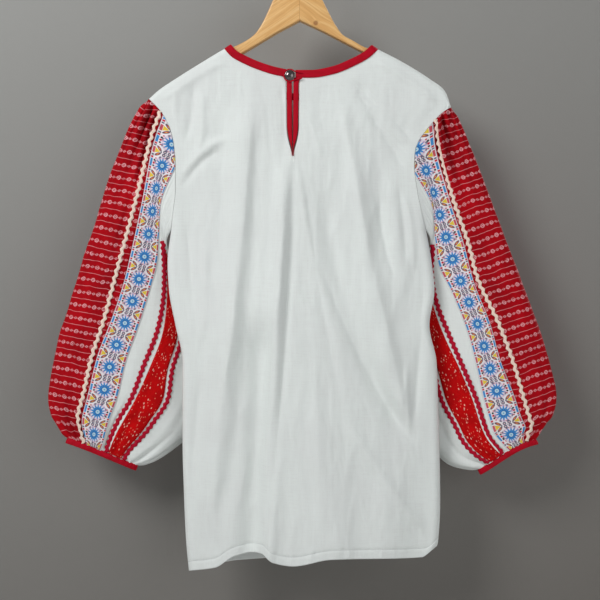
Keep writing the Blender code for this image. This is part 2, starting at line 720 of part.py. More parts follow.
def build_wood(wood):
    """A flat board in the outline of a hanger, rounded along its edges."""
    arms_left = [(x, float(shoulder(x)) - WOOD_BELOW_CLOTH) for x in WOOD_ARM_X]
    arms_right = [(x, float(shoulder(x)) - WOOD_BELOW_CLOTH) for x in WOOD_RIGHT_ARM_X]
    upper_points = arms_left + [tuple(row) for row in WOOD_CROWN] + arms_right
    upper = smooth_curve(upper_points)
    xs = []
    for (x0, _), (x1, _) in zip(upper_points, upper_points[1:]):
        xs += [x0, (x0 + x1) / 2]
    xs.append(upper_points[-1][0])
    outline = [(x, float(upper(x))) for x in xs]
    right_end, left_end = WOOD_UNDERSIDE[-1], WOOD_UNDERSIDE[0]
    outline += round_end(outline[-1], right_end)
    outline += [tuple(row) for row in WOOD_UNDERSIDE[::-1]]
    outline += round_end(left_end, outline[0])
    curve = bpy.data.curves.new("hanger_wood_outline", "CURVE")
    curve.dimensions = "2D"
    curve.fill_mode = "BOTH"
    curve.extrude = (WOOD_THICK / 2 - WOOD_ROUND) / METRE
    curve.bevel_depth = WOOD_ROUND / METRE
    curve.bevel_resolution = 1
    curve.offset = -WOOD_ROUND / METRE
    spline = curve.splines.new("POLY")
    spline.points.add(len(outline) - 1)
    for point, (x, z) in zip(spline.points, outline):
        point.co = (x / METRE, z / METRE, 0, 1)
    spline.use_cyclic_u = True
    flat = bpy.data.objects.new("hanger_wood_outline", curve)
    flat.rotation_euler = (math.pi / 2, 0, 0)
    bpy.context.collection.objects.link(flat)
    bpy.context.view_layer.update()
    graph = bpy.context.evaluated_depsgraph_get()
    mesh = bpy.data.meshes.new_from_object(flat.evaluated_get(graph))
    board = bmesh.new()
    board.from_mesh(mesh)
    bmesh.ops.remove_doubles(board, verts=board.verts, dist=1e-5)
    board.to_mesh(mesh)
    board.free()
    obj = bpy.data.objects.new("hanger_wood", mesh)
    obj.matrix_world = flat.matrix_world.copy()
    bpy.data.objects.remove(flat)
    bpy.context.collection.objects.link(obj)
    mesh.shade_smooth()
    mesh.set_sharp_from_angle(angle=math.radians(40))
    mesh.materials.clear()
    return finish(obj, wood)


def round_end(start, end):
    """Points of a half round from start to end, bulging away from the board's middle."""
    start, end = np.array(start, float), np.array(end, float)
    centre, half = (start + end) / 2, (start - end) / 2
    away = np.array([-half[1], half[0]])
    if away[0] * centre[0] < 0:
        away = -away
    angles = np.radians([30, 60, 90, 120, 150])
    return [tuple(centre + half * math.cos(a) + away * 0.55 * math.sin(a)) for a in angles]


def tube(name, points, diameter, material):
    curve = bpy.data.curves.new(name, "CURVE")
    curve.dimensions = "3D"
    curve.bevel_depth = diameter / 2 / METRE
    curve.bevel_resolution = 2
    curve.use_fill_caps = True
    spline = curve.splines.new("POLY")
    spline.points.add(len(points) - 1)
    for point, place in zip(spline.points, points):
        point.co = (*(np.array(place) / METRE), 1)
    obj = bpy.data.objects.new(name, curve)
    bpy.context.collection.objects.link(obj)
    return finish(obj, material)


def build_hook(steel):
    """A round bend that bears on the rod at the origin, on a short straight shank."""
    centre_z = HOOK_WIRE / 2 - HOOK_RADIUS
    top_of_wood = max(row.z for row in WOOD_CROWN)
    points = [(0, 0, top_of_wood + GAP), (0, 0, top_of_wood + SHANK)]
    for degrees in range(-68, 205, 13):
        turn = math.radians(degrees)
        points.append((HOOK_RADIUS * math.cos(turn), 0, centre_z + HOOK_RADIUS * math.sin(turn)))
    return tube("hanger_hook", points, HOOK_WIRE, steel)


def build_button(metal, place_y):
    """A domed button, as a turned profile."""
    profile = [(0.0, 0.0), (BUTTON_RADIUS * 0.8, 0.0), (BUTTON_RADIUS, 1.0)]
    for degrees in (20, 45, 70):
        turn = math.radians(degrees)
        profile.append((BUTTON_RADIUS * math.cos(turn), 1.0 + (BUTTON_HEIGHT - 1) * math.sin(turn)))
    profile.append((0.0, BUTTON_HEIGHT))
    mesh = bpy.data.meshes.new("button")
    dome = bmesh.new()
    verts = [dome.verts.new((r / METRE, 0, h / METRE)) for r, h in reversed(profile)]
    for first, second in zip(verts, verts[1:]):
        dome.edges.new((first, second))
    dome.to_mesh(mesh)
    dome.free()
    obj = bpy.data.objects.new("button", mesh)
    obj.location = (BUTTON_X / METRE, place_y / METRE, BUTTON_Z / METRE)
    obj.rotation_euler = (math.pi / 2, 0, 0)
    bpy.context.collection.objects.link(obj)
    turned = obj.modifiers.new("Turned", "SCREW")
    turned.steps = turned.render_steps = 20
    turned.use_merge_vertices = True
    turned.merge_threshold = 0.00001
    return finish(obj, metal)


def build_loop(place_y, red):
    """A cord loop round the button's foot, sewn to the binding on the right of the slit."""
    radius = BUTTON_RADIUS + LOOP_WIRE / 2 + GAP
    points = [(LOOP_END_X, place_y, BUTTON_Z + LOOP_HALF)]
    for degrees in range(40, 325, 20):
        turn = math.radians(degrees)
        points.append((
            BUTTON_X + radius * math.cos(turn), place_y, BUTTON_Z + radius * math.sin(turn)
        ))
    points.append((LOOP_END_X, place_y, BUTTON_Z - LOOP_HALF))
    return tube("button_loop", points, LOOP_WIRE, red)


for old in list(bpy.data.objects):
    bpy.data.objects.remove(old)
garment = bpy.data.collections.new("peasant_blouse")
bpy.context.scene.collection.children.link(garment)

white = new_material("white_cotton", (0.78, 0.79, 0.79), 0.85)
red = new_material("red_binding", (0.48, 0.01, 0.015), 0.7)
sleeve_materials = {
    "white": white,
    "red": red,
    "stripe": new_material("striped_red_print", (0.5, 0.015, 0.015), 0.8),
    "ribbon": new_material("flower_ribbon", (0.65, 0.55, 0.6), 0.6),
    "dots": new_material("dotted_red_print", (0.55, 0.01, 0.01), 0.75),
    "cream": new_material("cream_braid", (0.85, 0.7, 0.55), 0.75),
}
pine = new_material("pine", (0.6, 0.36, 0.15), 0.45)
steel = new_material("steel", (0.6, 0.6, 0.6), 0.3, 1.0)
button_metal = new_material("dark_metal", (0.25, 0.24, 0.24), 0.3, 1.0)

back_points, front_points, slit_column = build_body(white)
build_slit_bindings(back_points, slit_column, red)
build_neck_binding(back_points, front_points, slit_column, red)
for which in (-1, 1):
    build_sleeve(which, sleeve_materials)
build_wood(pine)
build_hook(steel)
button_y = float(back_points[0, slit_column, 1]) - BINDING / 2 - BUTTON_CLEAR
build_button(button_metal, button_y)
build_loop(button_y - LOOP_WIRE / 2, red)
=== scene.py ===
"""The looks of a peasant blouse on its hanger: fine cloth, trims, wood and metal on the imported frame.

Tables and lengths are in millimetres, as in the part's own source, and every mesh is made in metres.
"""
import math
from collections import namedtuple
from contextlib import contextmanager

import bmesh
import bpy
import numpy as np
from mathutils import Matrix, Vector, noise


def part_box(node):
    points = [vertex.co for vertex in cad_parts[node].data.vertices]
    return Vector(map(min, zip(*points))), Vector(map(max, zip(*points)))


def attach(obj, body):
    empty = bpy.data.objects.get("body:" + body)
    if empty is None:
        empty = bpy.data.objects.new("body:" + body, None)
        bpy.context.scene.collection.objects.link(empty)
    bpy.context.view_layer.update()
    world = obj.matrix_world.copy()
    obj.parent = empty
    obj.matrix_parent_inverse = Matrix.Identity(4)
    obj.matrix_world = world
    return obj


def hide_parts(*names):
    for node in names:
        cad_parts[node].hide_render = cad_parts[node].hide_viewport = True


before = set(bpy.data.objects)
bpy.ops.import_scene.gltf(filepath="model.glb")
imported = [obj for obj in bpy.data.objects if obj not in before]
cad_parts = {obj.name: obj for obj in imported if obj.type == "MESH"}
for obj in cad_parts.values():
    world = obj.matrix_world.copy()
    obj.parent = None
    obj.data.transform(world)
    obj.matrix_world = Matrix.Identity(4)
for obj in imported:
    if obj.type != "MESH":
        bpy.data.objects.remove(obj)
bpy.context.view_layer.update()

METRE = 1000.0
TINY = 1e-9
SEEN_FROM = 1300.0
SEEN_HEIGHT = -494.0
CAMERA_X = 2.1
FOCAL_PIXELS = 928.6
IMAGE_PIXELS = 600

# Cloth and trims
CLOTH = 0.8
RIBBON = 0.7
RIBBON_WIDTH = 38.0
RIBBON_GAP = 0.25
RIBBON_ADDED = 70.0
SEAM = 0.3
ARMHOLE_SEAM = 0.5
NECK_BINDING_WIDTH = 11.0
NECK_INSET = 0.8
NECK_LIFT = 1.1
NECK_OVERLAP = 5.0
NECK_STEP = 2.0
NECK_SMOOTHINGS = 3
BINDING = 2.2
SLIT_BINDING = 1.9
CUFF_BINDING_WIDTH = 8.5
CUFF_INSET = 1.2
BRAID = 1.3
BRAID_GAP = 0.3
BRAID_STEP = 0.8
HEM_DEPTH = 13.0
HEM_GROOVE = 0.8
HEM_GROOVE_WIDTH = 1.6
PUCKER = 0.35
PUCKER_PLACE = 9.0
PUCKER_REACH = 8.0

# Body
SHOULDER_ROLL = 9.0
SHOULDER_SLOPE = math.radians(27)
OFF_HANGER_Z = (-185.0, -260.0)
BOW_PEAK = 6.75
SIDE_SEAM_DEPTH = -10.0
SIDE_SEAM_TURN = 165.0
UNDERARM_Z = -395.0
UNDERARM_TOP_Z = -345.0
EDGE_FADE = 45.0
CREASES_FROM_SIDE = 30.0
RELIEF_FROM_TOP = 25.0
BODY_LENGTH = 677.0
SLIT_X = -8.0
SLIT_TIP_Z = -291.0
SLIT_WIDE_Z = -190.0
SLIT_CUT_HALF = 9.0
SLIT_NARROWING = 0.8
SLIT_TAPER = 40.0
SLIT_OPEN_HALF = (1.2, 0.4)
SLIT_FLARE = 3.5
SLIT_FLARE_SHARE = 0.07
SLIT_CELLS = 6
SLIT_SINK = 0.2
SLIT_POINT = 2.0
SLIT_PULL_WIDTH = 35.0
SLIT_PULL_BELOW = 90.0

# Sleeve
SLEEVE_ROUND = 420.0
OUTER_Y = 4.0
FOLD_ROUNDNESS = 0.35
CREASES_FROM_HEAD = 20.0
GROOVES_FROM_HEAD = 12.0
CUFF_LIP = 1.0
CUFF_POINTS = 160
CUFF_PUCKERS = 31
CUFF_PUCKER = 0.25
CUFF_LIFT = 0.5
BRAID_SHARE = 0.032
CREAM_SHARE = 0.55
RED_CROWDING = 2.0
UNDER_CROWDING = 1.3

# Hanger
WOOD_THICK = 12.0
WOOD_ROUND = 2.4
WOOD_BELOW_CLOTH = 2.3
WOOD_STEP = 3.0
HOOK_WIRE = 3.6
HOOK_RADIUS = 22.0
HOOK_SHANK = (0.3, 4.0, 8.0)
HOOK_ARC = range(-68, 205, 7)

# Button
BUTTON_RADIUS = 7.2
BUTTON_HEIGHT = 5.0
BUTTON_SIDES = 64
BUTTON_X = -12.0
BUTTON_Z = -183.0
LOOP_WIRE = 1.8
LOOP_GAP = 0.3
LOOP_ARC = range(40, 325, 15)
LOOP_END_X = 5.0
LOOP_END_RISE = 3.6


def table(row, *values):
    return [row(*numbers) for numbers in values]


SideRow = namedtuple("SideRow", "z x")
LEFT_SIDE = table(
    SideRow,
    (-213, -209), (-220, -202), (-225, -197), (-232, -191), (-242, -185), (-256, -179),
    (-279, -174), (-305, -172), (-340, -172), (-368, -175), (-396, -178), (-441, -183),
    (-480, -181), (-529, -172), (-581, -162), (-692, -162), (-767, -160), (-832, -157),
    (-874, -153),
)
RIGHT_SIDE = table(
    SideRow,
    (-225, 213), (-232, 201), (-242, 191), (-256, 179), (-270, 169), (-286, 163), (-305, 162),
    (-340, 166), (-396, 178), (-441, 186), (-480, 190), (-529, 183), (-581, 193),
    (-634, 195), (-767, 198), (-832, 195), (-853, 187),
)

EdgePoint = namedtuple("EdgePoint", "x z")
SHOULDER = table(
    EdgePoint,
    (-209, -213), (-194, -200), (-173, -186), (-138, -164), (-103, -143), (-60, -120),
    (4, -90), (65, -119), (111, -144), (142, -160), (184, -186), (205, -203), (213, -225),
)
NECK_LEFT_X = -103.0
NECK_RIGHT_X = 111.0
BACK_NECK = table(
    EdgePoint,
    (-103, -143), (-94, -154.5), (-78, -164), (-55, -174), (-28, -182), (-8, -185),
    (18, -185), (48, -180), (78, -168), (99, -156), (111, -144),
)
FRONT_NECK = table(
    EdgePoint,
    (-103, -143), (-95, -156), (-84, -171), (-62, -192), (-30, -208), (4, -213), (38, -208),
    (70, -192), (92, -171), (103, -156), (111, -144),
)

HemPoint = namedtuple("HemPoint", "across z")
BACK_HEM = table(
    HemPoint,
    (0, -873), (0.105, -869), (0.19, -853), (0.265, -847), (0.3, -849), (0.345, -862),
    (0.43, -867), (0.583, -858), (0.96, -854), (1, -838),
)
FRONT_HEM = table(HemPoint, (0, -873), (0.2, -858), (0.5, -852), (0.8, -848), (1, -838))

# How far the cloth stands out from the side seams' plane at each height, beyond the shoulder roll
Bulge = namedtuple("Bulge", "z back front")
BULGES = table(
    Bulge,
    (-140, 1, 2), (-220, 3, 8), (-300, 8, 16), (-500, 14, 28), (-700, 19, 36), (-870, 23, 40),
)

# A fold runs through three points. Its height is positive where it stands out
Fold = namedtuple("Fold", "top_x top_z mid_x mid_z low_x low_z height width")
BACK_FOLDS = table(
    Fold,
    (-74, -200, -90, -480, -146, -850, 8, 22), (-60, -230, -72, -500, -110, -820, -5, 13),
    (-51, -500, -58, -700, -70, -900, -16, 18), (-18, -280, -30, -520, -43, -900, 9, 12),
    (33, -320, 75, -522, 162, -707, -6, 12), (80, -284, 105, -490, 159, -690, 6, 15),
    (111, -250, 117, -354, 122, -460, -3, 13), (136, -312, 139, -410, 148, -500, 3, 13),
    (-107, -220, -102, -312, -107, -410, -3, 15), (20, -620, 40, -740, 60, -900, 5, 24),
    (125, -720, 128, -800, 130, -900, 5, 22),
)
FRONT_FOLDS = table(
    Fold,
    (90, -260, 100, -520, 130, -900, 8, 24), (45, -300, 52, -540, 70, -900, -7, 16),
    (5, -260, 0, -520, -15, -900, 8, 22), (-50, -300, -58, -540, -66, -900, -6, 16),
    (-95, -260, -100, -520, -112, -900, 7, 20),
)
FOLD_FADE = 70.0

# Sharper creases that only the cloth's own mesh shows
BACK_CREASES = table(
    Fold,
    (-8, -298, -20, -560, -46, -850, -4.5, 6), (-14, -330, -35, -560, -56, -800, 3.5, 8),
    (-62, -190, -82, -440, -116, -690, 3.0, 8), (-1, -300, 12, -389, 44, -520, 3.5, 8),
    (28, -430, 107, -613, 166, -704, -4.5, 9), (56, -196, 82, -333, 106, -470, 4.0, 8),
    (102, -440, 128, -550, 155, -680, 3.2, 8), (68, -660, 121, -746, 184, -830, 4.0, 9),
    (98, -157, 149, -186, 197, -224, 3.0, 5), (70, -184, 112, -224, 165, -274, -3.5, 5),
    (78, -198, 121, -256, 162, -300, -3.0, 4.5), (90, -196, 125, -238, 160, -284, 2.6, 4.5),
    (98, -232, 128, -277, 152, -318, -2.5, 4.5), (112, -340, 118, -400, 137, -470, -3.0, 5),
    (147, -340, 158, -389, 160, -460, 3.0, 5), (140, -330, 146, -380, 150, -450, -2.2, 4),
    (-100, -262, -138, -291, -172, -330, 4.0, 7), (-112, -280, -140, -306, -170, -345, -3.0, 6),
    (-98, -158, -155, -192, -192, -219, 2.6, 5), (-146, -190, -148, -228, -160, -276, -2.6, 4.5),
    (-170, -200, -172, -235, -165, -270, 2.4, 4.5), (-132, -200, -134, -240, -140, -290, 2.2, 5),
    (-136, -590, -148, -704, -160, -830, -4.0, 7), (-108, -570, -124, -704, -133, -850, -4.0, 12),
    (174, -460, 170, -564, 158, -680, -3.4, 5), (184, -480, 183, -564, 180, -650, 2.6, 5),
    (150, -580, 153, -640, 156, -690, 2.4, 3.5), (12, -225, 22, -260, 34, -300, 2.0, 6),
    (-24, -190, -21, -228, -18, -275, -2.0, 4), (6, -298, 22, -430, 60, -640, -2.5, 7),
    (-30, -620, -40, -740, -48, -860, -2.5, 5), (20, -560, 28, -700, 30, -860, 2.2, 8),
    (-158, -380, -152, -440, -146, -520, -2.4, 5), (-132, -400, -130, -470, -136, -560, 2.2, 6),
)
CREASE_FADE = 0.22

# Each row runs from the top fold of the sleeve to its inner fold, and the last is the cuff
SleeveRow = namedtuple("SleeveRow", "outer_x outer_z inner_x inner_z bow half_depth inner_y")
LEFT_SLEEVE = table(
    SleeveRow,
    (-209, -213, -178, -395, 0, 9, -10), (-232, -249, -185, -412, 20, 11, 9),
    (-261, -319, -179, -438, 16, 13, 21), (-282, -382, -163, -476, 10, 16, 32),
    (-303, -445, -150, -515, 4, 19, 36), (-321, -503, -144, -557, 0, 22, 36),
    (-338, -560, -138, -599, 0, 23, 36), (-348, -620, -136, -638, 0, 22, 35),
    (-345, -650, -144, -669, 0, 20, 32), (-338, -664, -162, -691, 0, 17, 28),
    (-330, -676, -198, -715, 0, 13, 22), (-322, -687, -226, -725, 1, 11, 18),
)
RIGHT_SLEEVE = table(
    SleeveRow,
    (213, -225, 178, -395, 0, 9, -10), (232, -263, 185, -412, 34, 11, 9),
    (262, -337, 179, -440, 28, 13, 21), (282, -391, 163, -479, 11, 16, 32),
    (303, -445, 155, -519, 4, 19, 36), (327, -505, 159, -560, 0, 22, 36),
    (346, -567, 163, -601, 0, 23, 36), (359, -620, 166, -640, 0, 22, 35),
    (355, -652, 173, -673, 0, 20, 32), (345, -665, 188, -701, 0, 17, 28),
    (338, -676, 212, -723, 2.5, 13, 22), (331, -689, 252, -731, 4, 11, 18),
)

# Where the trims lie across a half sleeve, as fractions from the top fold to the inner fold
StripRow = namedtuple("StripRow", "cream ribbon white braid_1 dots white_2 braid_2")
LEFT_STRIPS = table(
    StripRow,
    (0.085, 0.124, 0.53, 0.60, 0.66, 0.78, 0.80), (0.165, 0.22, 0.66, 0.74, 0.79, 0.88, 0.895),
    (0.25, 0.36, 0.75, 0.835, 0.88, 0.93, 0.942), (0.265, 0.38, 0.68, 0.76, 0.81, 0.90, 0.915),
    (0.26, 0.375, 0.605, 0.72, 0.77, 0.875, 0.89), (0.26, 0.335, 0.545, 0.675, 0.735, 0.85, 0.865),
    (0.235, 0.285, 0.485, 0.595, 0.655, 0.775, 0.79), (0.21, 0.254, 0.45, 0.525, 0.57, 0.745, 0.76),
    (0.17, 0.215, 0.405, 0.455, 0.505, 0.68, 0.695), (0.16, 0.20, 0.395, 0.435, 0.48, 0.66, 0.675),
    (0.19, 0.23, 0.43, 0.47, 0.515, 0.68, 0.695), (0.21, 0.26, 0.46, 0.53, 0.58, 0.77, 0.785),
)
RIGHT_STRIPS = table(
    StripRow,
    (0.085, 0.124, 0.56, 0.64, 0.70, 0.82, 0.84), (0.165, 0.22, 0.68, 0.76, 0.81, 0.90, 0.915),
    (0.28, 0.34, 0.78, 0.85, 0.895, 0.94, 0.95), (0.31, 0.37, 0.69, 0.775, 0.82, 0.91, 0.925),
    (0.32, 0.375, 0.58, 0.72, 0.77, 0.875, 0.89), (0.27, 0.355, 0.545, 0.675, 0.73, 0.855, 0.87),
    (0.225, 0.345, 0.53, 0.615, 0.66, 0.82, 0.835), (0.213, 0.30, 0.52, 0.558, 0.60, 0.785, 0.80),
    (0.157, 0.24, 0.48, 0.515, 0.558, 0.72, 0.735), (0.10, 0.175, 0.45, 0.488, 0.53, 0.70, 0.715),
    (0.115, 0.18, 0.42, 0.475, 0.52, 0.69, 0.705), (0.10, 0.17, 0.44, 0.53, 0.58, 0.77, 0.785),
)

SLEEVES = {-1: LEFT_SLEEVE, 1: RIGHT_SLEEVE}
STRIPS = {-1: LEFT_STRIPS, 1: RIGHT_STRIPS}

# Cells across each strip, from the top fold to the inner fold
StripCells = namedtuple(
    "StripCells", "red cream red_edge ribbon white braid_1 gap dots gap_2 braid_2 under"
)
CELLS = StripCells(20, 4, 3, 12, 8, 4, 3, 8, 3, 4, 22)

WoodRow = namedtuple("WoodRow", "x z")
WOOD_CROWN = table(
    WoodRow,
    (-90, -140.5), (-62, -124), (-53, -112), (-42, -90), (-35, -74), (-30, -65), (-22, -60),
    (0, -58), (22, -60), (28, -65), (33, -74), (40, -88), (51, -109), (62, -124), (76, -132),
    (92, -141),
)
WOOD_ARMS_X = (-184, -165, -138, -103, 111, 142, 168, 185)
WOOD_UNDERSIDE = table(
    WoodRow,
    (-184, -216), (-173, -209), (-138, -187), (-78, -150), (-30, -121), (2, -104),
    (34, -119), (90, -148), (142, -183), (172, -201), (185, -209.5),
)

# How trims lie: their strip of the sleeve, and the row of the table where they start
Band = namedtuple("Band", "name strip look first_row")
BANDS = table(Band, ("ribbon", "ribbon", "ribbon", 0.0), ("dotted_band", "dots", "dots", 2.0))
Zigzag = namedtuple("Zigzag", "name strip look first_row half_width swing step")
ZIGZAGS = table(
    Zigzag,
    ("cream_ricrac", "cream", "cream", 0.0, 2.5, 1.2, 10.4),
    ("red_ricrac_outer", "braid_1", "red", 1.8, 3.1, 1.0, 8.2),
    ("red_ricrac_inner", "braid_2", "red", 2.0, 2.9, 0.9, 8.2),
)
FLOWER_PLACE = {-1: (-183.4, -273.7), 1: (173.6, -279.6)}
STRIPE_TILT = {-1: math.radians(-11), 1: math.radians(19)}
ROWS = np.concatenate([np.arange(0, 7, 1 / 22), np.arange(7, 11.01, 1 / 10)])

# Gathers at both ends of a sleeve: how far they reach swings round it, and they rise from a seam
Gathers = namedtuple("Gathers", "count seed height reach swing waves power rise_from rise_to")
CUFF_GATHERS = Gathers(15, 0, 2.9, 62, 0.45, 4.3, 1.5, -4, 12)
HEAD_GATHERS = Gathers(25, 2, 5.0, 105, 0.5, 7.1, 2.0, 0, 16)

# Deep gathers below the shoulder: their place and width as shares of the way from the top fold to
# the cream braid, and how far down they reach
Groove = namedtuple("Groove", "side place width reach depth")
GROOVES = table(
    Groove,
    (1, 0.78, 0.10, 105, 8.0), (1, 0.48, 0.11, 90, 8.0), (1, 0.20, 0.11, 60, 5.0),
    (-1, 0.70, 0.11, 90, 5.5), (-1, 0.38, 0.12, 60, 4.5),
)

# Crumples of the cloth: their size across and along, a seed, and their height
Crumple = namedtuple("Crumple", "across along seed height")
BODY_CRUMPLES = table(Crumple, (24, 80, 3.0, 2.0), (60, 200, 9.0, 2.4), (9, 34, 15.0, 0.5))
SLEEVE_CRUMPLE = Crumple(15, 120, 21.0, 1.8)
OVERARM_CRUMPLE_MORE = 2.4

# The button's half section, as shares of its radius and height
BUTTON_RIM = ((0.0, 0.0), (0.8, 0.0), (0.97, 0.06), (1.0, 0.2), (0.97, 0.34), (0.9, 0.4), (0.84, 0.4))
BUTTON_DOME = range(10, 91, 8)
DOME_SHARE = 0.86
DOME_FOOT = 0.35


def smooth_curve(points):
    """A curve through points, ordered by their first value, that doesn't overshoot between them."""
    rows = sorted(tuple(point)[:2] for point in points)
    xs, ys = np.array(rows, float).T
    run = np.diff(xs)
    slope = np.diff(ys) / run
    tangent = np.zeros(len(xs))
    tangent[0], tangent[-1] = slope[0], slope[-1]
    for i in range(1, len(xs) - 1):
        if slope[i - 1] * slope[i] > 0:
            before = run[i - 1] + 2 * run[i]
            after = 2 * run[i - 1] + run[i]
            tangent[i] = (before + after) / (before / slope[i - 1] + after / slope[i])

    def at(x):
        x = np.clip(np.asarray(x, float), xs[0], xs[-1])
        i = np.clip(np.searchsorted(xs, x) - 1, 0, len(run) - 1)
        t = (x - xs[i]) / run[i]
        left = ys[i] * (1 + 2 * t) * (1 - t) ** 2 + tangent[i] * run[i] * t * (1 - t) ** 2
        right = ys[i + 1] * t * t * (3 - 2 * t) + tangent[i + 1] * run[i] * t * t * (t - 1)
        return left + right

    return at


def smoothstep(low, high, value):
    t = np.clip((value - low) / (high - low), 0, 1)
    return t * t * (3 - 2 * t)


def arc_rise(distance, radius):
    """0 at an edge, rising as a quarter circle to 1 at one radius from it."""
    inward = np.clip(1 - distance / radius, 0, 1)
    return np.sqrt(1 - inward * inward)


def unit(vectors):
    return vectors / np.maximum(np.linalg.norm(vectors, axis=-1, keepdims=True), TINY)


def arc_of(points, axis=0):
    """Lengths from the first point along a path, or along each row or column of a grid."""
    steps = np.diff(points, axis=axis, prepend=points.take([0], axis=axis))
    return np.cumsum(np.linalg.norm(steps, axis=-1), axis=axis)


def resample(values, arc, places):
    return np.stack([np.interp(places, arc, values[:, i]) for i in range(values.shape[1])], axis=-1)


def normals_of(grid):
    """Unit normals of a grid of points, one at each point."""
    return unit(np.cross(np.gradient(grid, axis=1), np.gradient(grid, axis=0)))


left_side = smooth_curve(LEFT_SIDE)
right_side = smooth_curve(RIGHT_SIDE)
shoulder = smooth_curve(SHOULDER)
back_neck = smooth_curve(BACK_NECK)
front_neck = smooth_curve(FRONT_NECK)
back_hem = smooth_curve(BACK_HEM)
front_hem = smooth_curve(FRONT_HEM)
back_bulge = smooth_curve([(row.z, row.back) for row in BULGES])
front_bulge = smooth_curve([(row.z, row.front) for row in BULGES])
LEFT_TIP_X, RIGHT_TIP_X = SHOULDER[0].x, SHOULDER[-1].x
WIDTH = RIGHT_TIP_X - LEFT_TIP_X
NECK_LEFT = (NECK_LEFT_X - LEFT_TIP_X) / WIDTH
NECK_RIGHT = (NECK_RIGHT_X - LEFT_TIP_X) / WIDTH


def true_place(points):
    """Moves points from where they are seen, in the plane y = 0, to where they lie at their depth."""
    off_hanger = smoothstep(*OFF_HANGER_Z, points[..., 2:3])
    scale = 1 + points[..., 1:2] / SEEN_FROM * off_hanger
    centre = np.array([0.0, 0.0, SEEN_HEIGHT])
    moved = centre + (points - centre) * scale
    moved[..., 1] = points[..., 1]
    return moved


def seam_depth(z):
    """The plane in which front and back meet: below the arms it comes forward of the sleeves."""
    return SIDE_SEAM_DEPTH * smoothstep(UNDERARM_Z, UNDERARM_Z - SIDE_SEAM_TURN, z)


def fold_height(folds, x, z, fine=False):
    """The height of folds, each along a curve through its three points.

    Fine creases are sharper, keep their width where they turn, and fade over a share of their run.
    """
    total = np.zeros_like(x)
    for fold in folds:
        span = fold.top_z - fold.low_z
        run = fold.low_x - fold.top_x
        t = (fold.top_z - z) / span
        mid = (fold.top_z - fold.mid_z) / span
        bend = (fold.mid_x - fold.top_x - run * mid) / (mid * (1 - mid))
        path = fold.top_x + run * t + bend * t * (1 - t)
        if fine:
            lean, power, fade = (run + bend * (1 - 2 * t)) / span, 1.5, CREASE_FADE
        else:
            lean, power, fade = run / span, 2.0, FOLD_FADE / span
        across = np.abs(x - path) / (fold.width * np.hypot(1, lean))
        ends = smoothstep(0, fade, t) * smoothstep(0, fade, 1 - t)
        total += fold.height * np.exp(-(across**power)) * ends
    return total


def body_depth(face, x, z, across):
    """The y of the back (face -1) or front (face 1) at a seen place, across being 0 to 1."""
    left, right = left_side(z), right_side(z)
    side = np.minimum(x - left, right - x)
    under_arm = np.clip((UNDERARM_TOP_Z - z) / (UNDERARM_TOP_Z - UNDERARM_Z), 0, 1)
    closing = 1 - np.sqrt(1 - under_arm**2)
    rim = 1 + (arc_rise(side, SHOULDER_ROLL) - 1) * closing
    ridge = arc_rise(shoulder(x) - z, SHOULDER_ROLL)
    centred = np.clip(2 * across - 1, -1, 1)
    bulge, folds = (back_bulge, BACK_FOLDS) if face < 0 else (front_bulge, FRONT_FOLDS)
    swell = bulge(z) * (1 - centred**2) ** 1.5 + fold_height(folds, x, z)
    swell = swell * smoothstep(0, EDGE_FADE, side)
    return seam_depth(z) + face * (SEAM / 2 + SHOULDER_ROLL * rim * ridge + swell * ridge)


def slit_half(z):
    """Half the width of the cut for the slit and its bindings, which narrows to a point."""
    above = SLIT_CUT_HALF - SLIT_NARROWING * smoothstep(SLIT_WIDE_Z, SLIT_TIP_Z, z)
    return above * np.sin(math.pi / 2 * np.clip((z - SLIT_TIP_Z) / SLIT_TAPER, 0, 1))


def armhole(side, share, face):
    """The sleeve's seam on the body: share runs from the shoulder point to the underarm."""
    first = SLEEVES[side][0]
    z = first.outer_z + (first.inner_z - first.outer_z) * share
    edge = left_side(z) if side < 0 else right_side(z)
    y = body_depth(face, edge, z, np.full_like(z, 0.0 if side < 0 else 1.0))
    return np.stack([edge + side * ARMHOLE_SEAM, y, z], axis=-1)


def between(start, end, cells, power=1.0):
    """Fractions that split start to end into cells, closer together near start where power is over 1."""
    return start + (end - start) * np.linspace(0, 1, cells + 1)[:-1] ** power


def strip_shares(row):
    """Column places over one half sleeve, from the top fold to the inner fold."""
    cream_end = row.cream + (row.ribbon - row.cream) * CREAM_SHARE
    edges = (
        row.cream, cream_end, row.ribbon, row.white, row.braid_1, row.braid_1 + BRAID_SHARE,
        row.dots, row.white_2, row.braid_2, row.braid_2 + BRAID_SHARE,
    )
    parts = [between(0, row.cream, CELLS.red, RED_CROWDING)]
    parts += [between(*span) for span in zip(edges, edges[1:], CELLS[1:])]
    parts.append(1 - (1 - edges[-1]) * np.linspace(1, 0, CELLS.under + 1) ** UNDER_CROWDING)
    return np.concatenate(parts)


HALF_COLUMNS = sum(CELLS)
STARTS = StripCells(*(sum(CELLS[:i]) for i in range(len(CELLS))))


def through_rows(keys, at):
    """Points between key rows, on smooth curves through them."""
    last = len(keys) - 1
    rows = []
    for value in at:
        i = min(int(value), last - 1)
        t = value - i
        p1, p2 = keys[i], keys[i + 1]
        p0 = keys[i - 1] if i > 0 else 2 * p1 - p2
        p3 = keys[i + 2] if i + 2 <= last else 2 * p2 - p1
        bend = 2 * p0 - 5 * p1 + 4 * p2 - p3
        twist = 3 * (p1 - p2) + p3 - p0
        rows.append(p1 + 0.5 * t * (p2 - p0 + t * (bend + t * twist)))
    return np.array(rows)


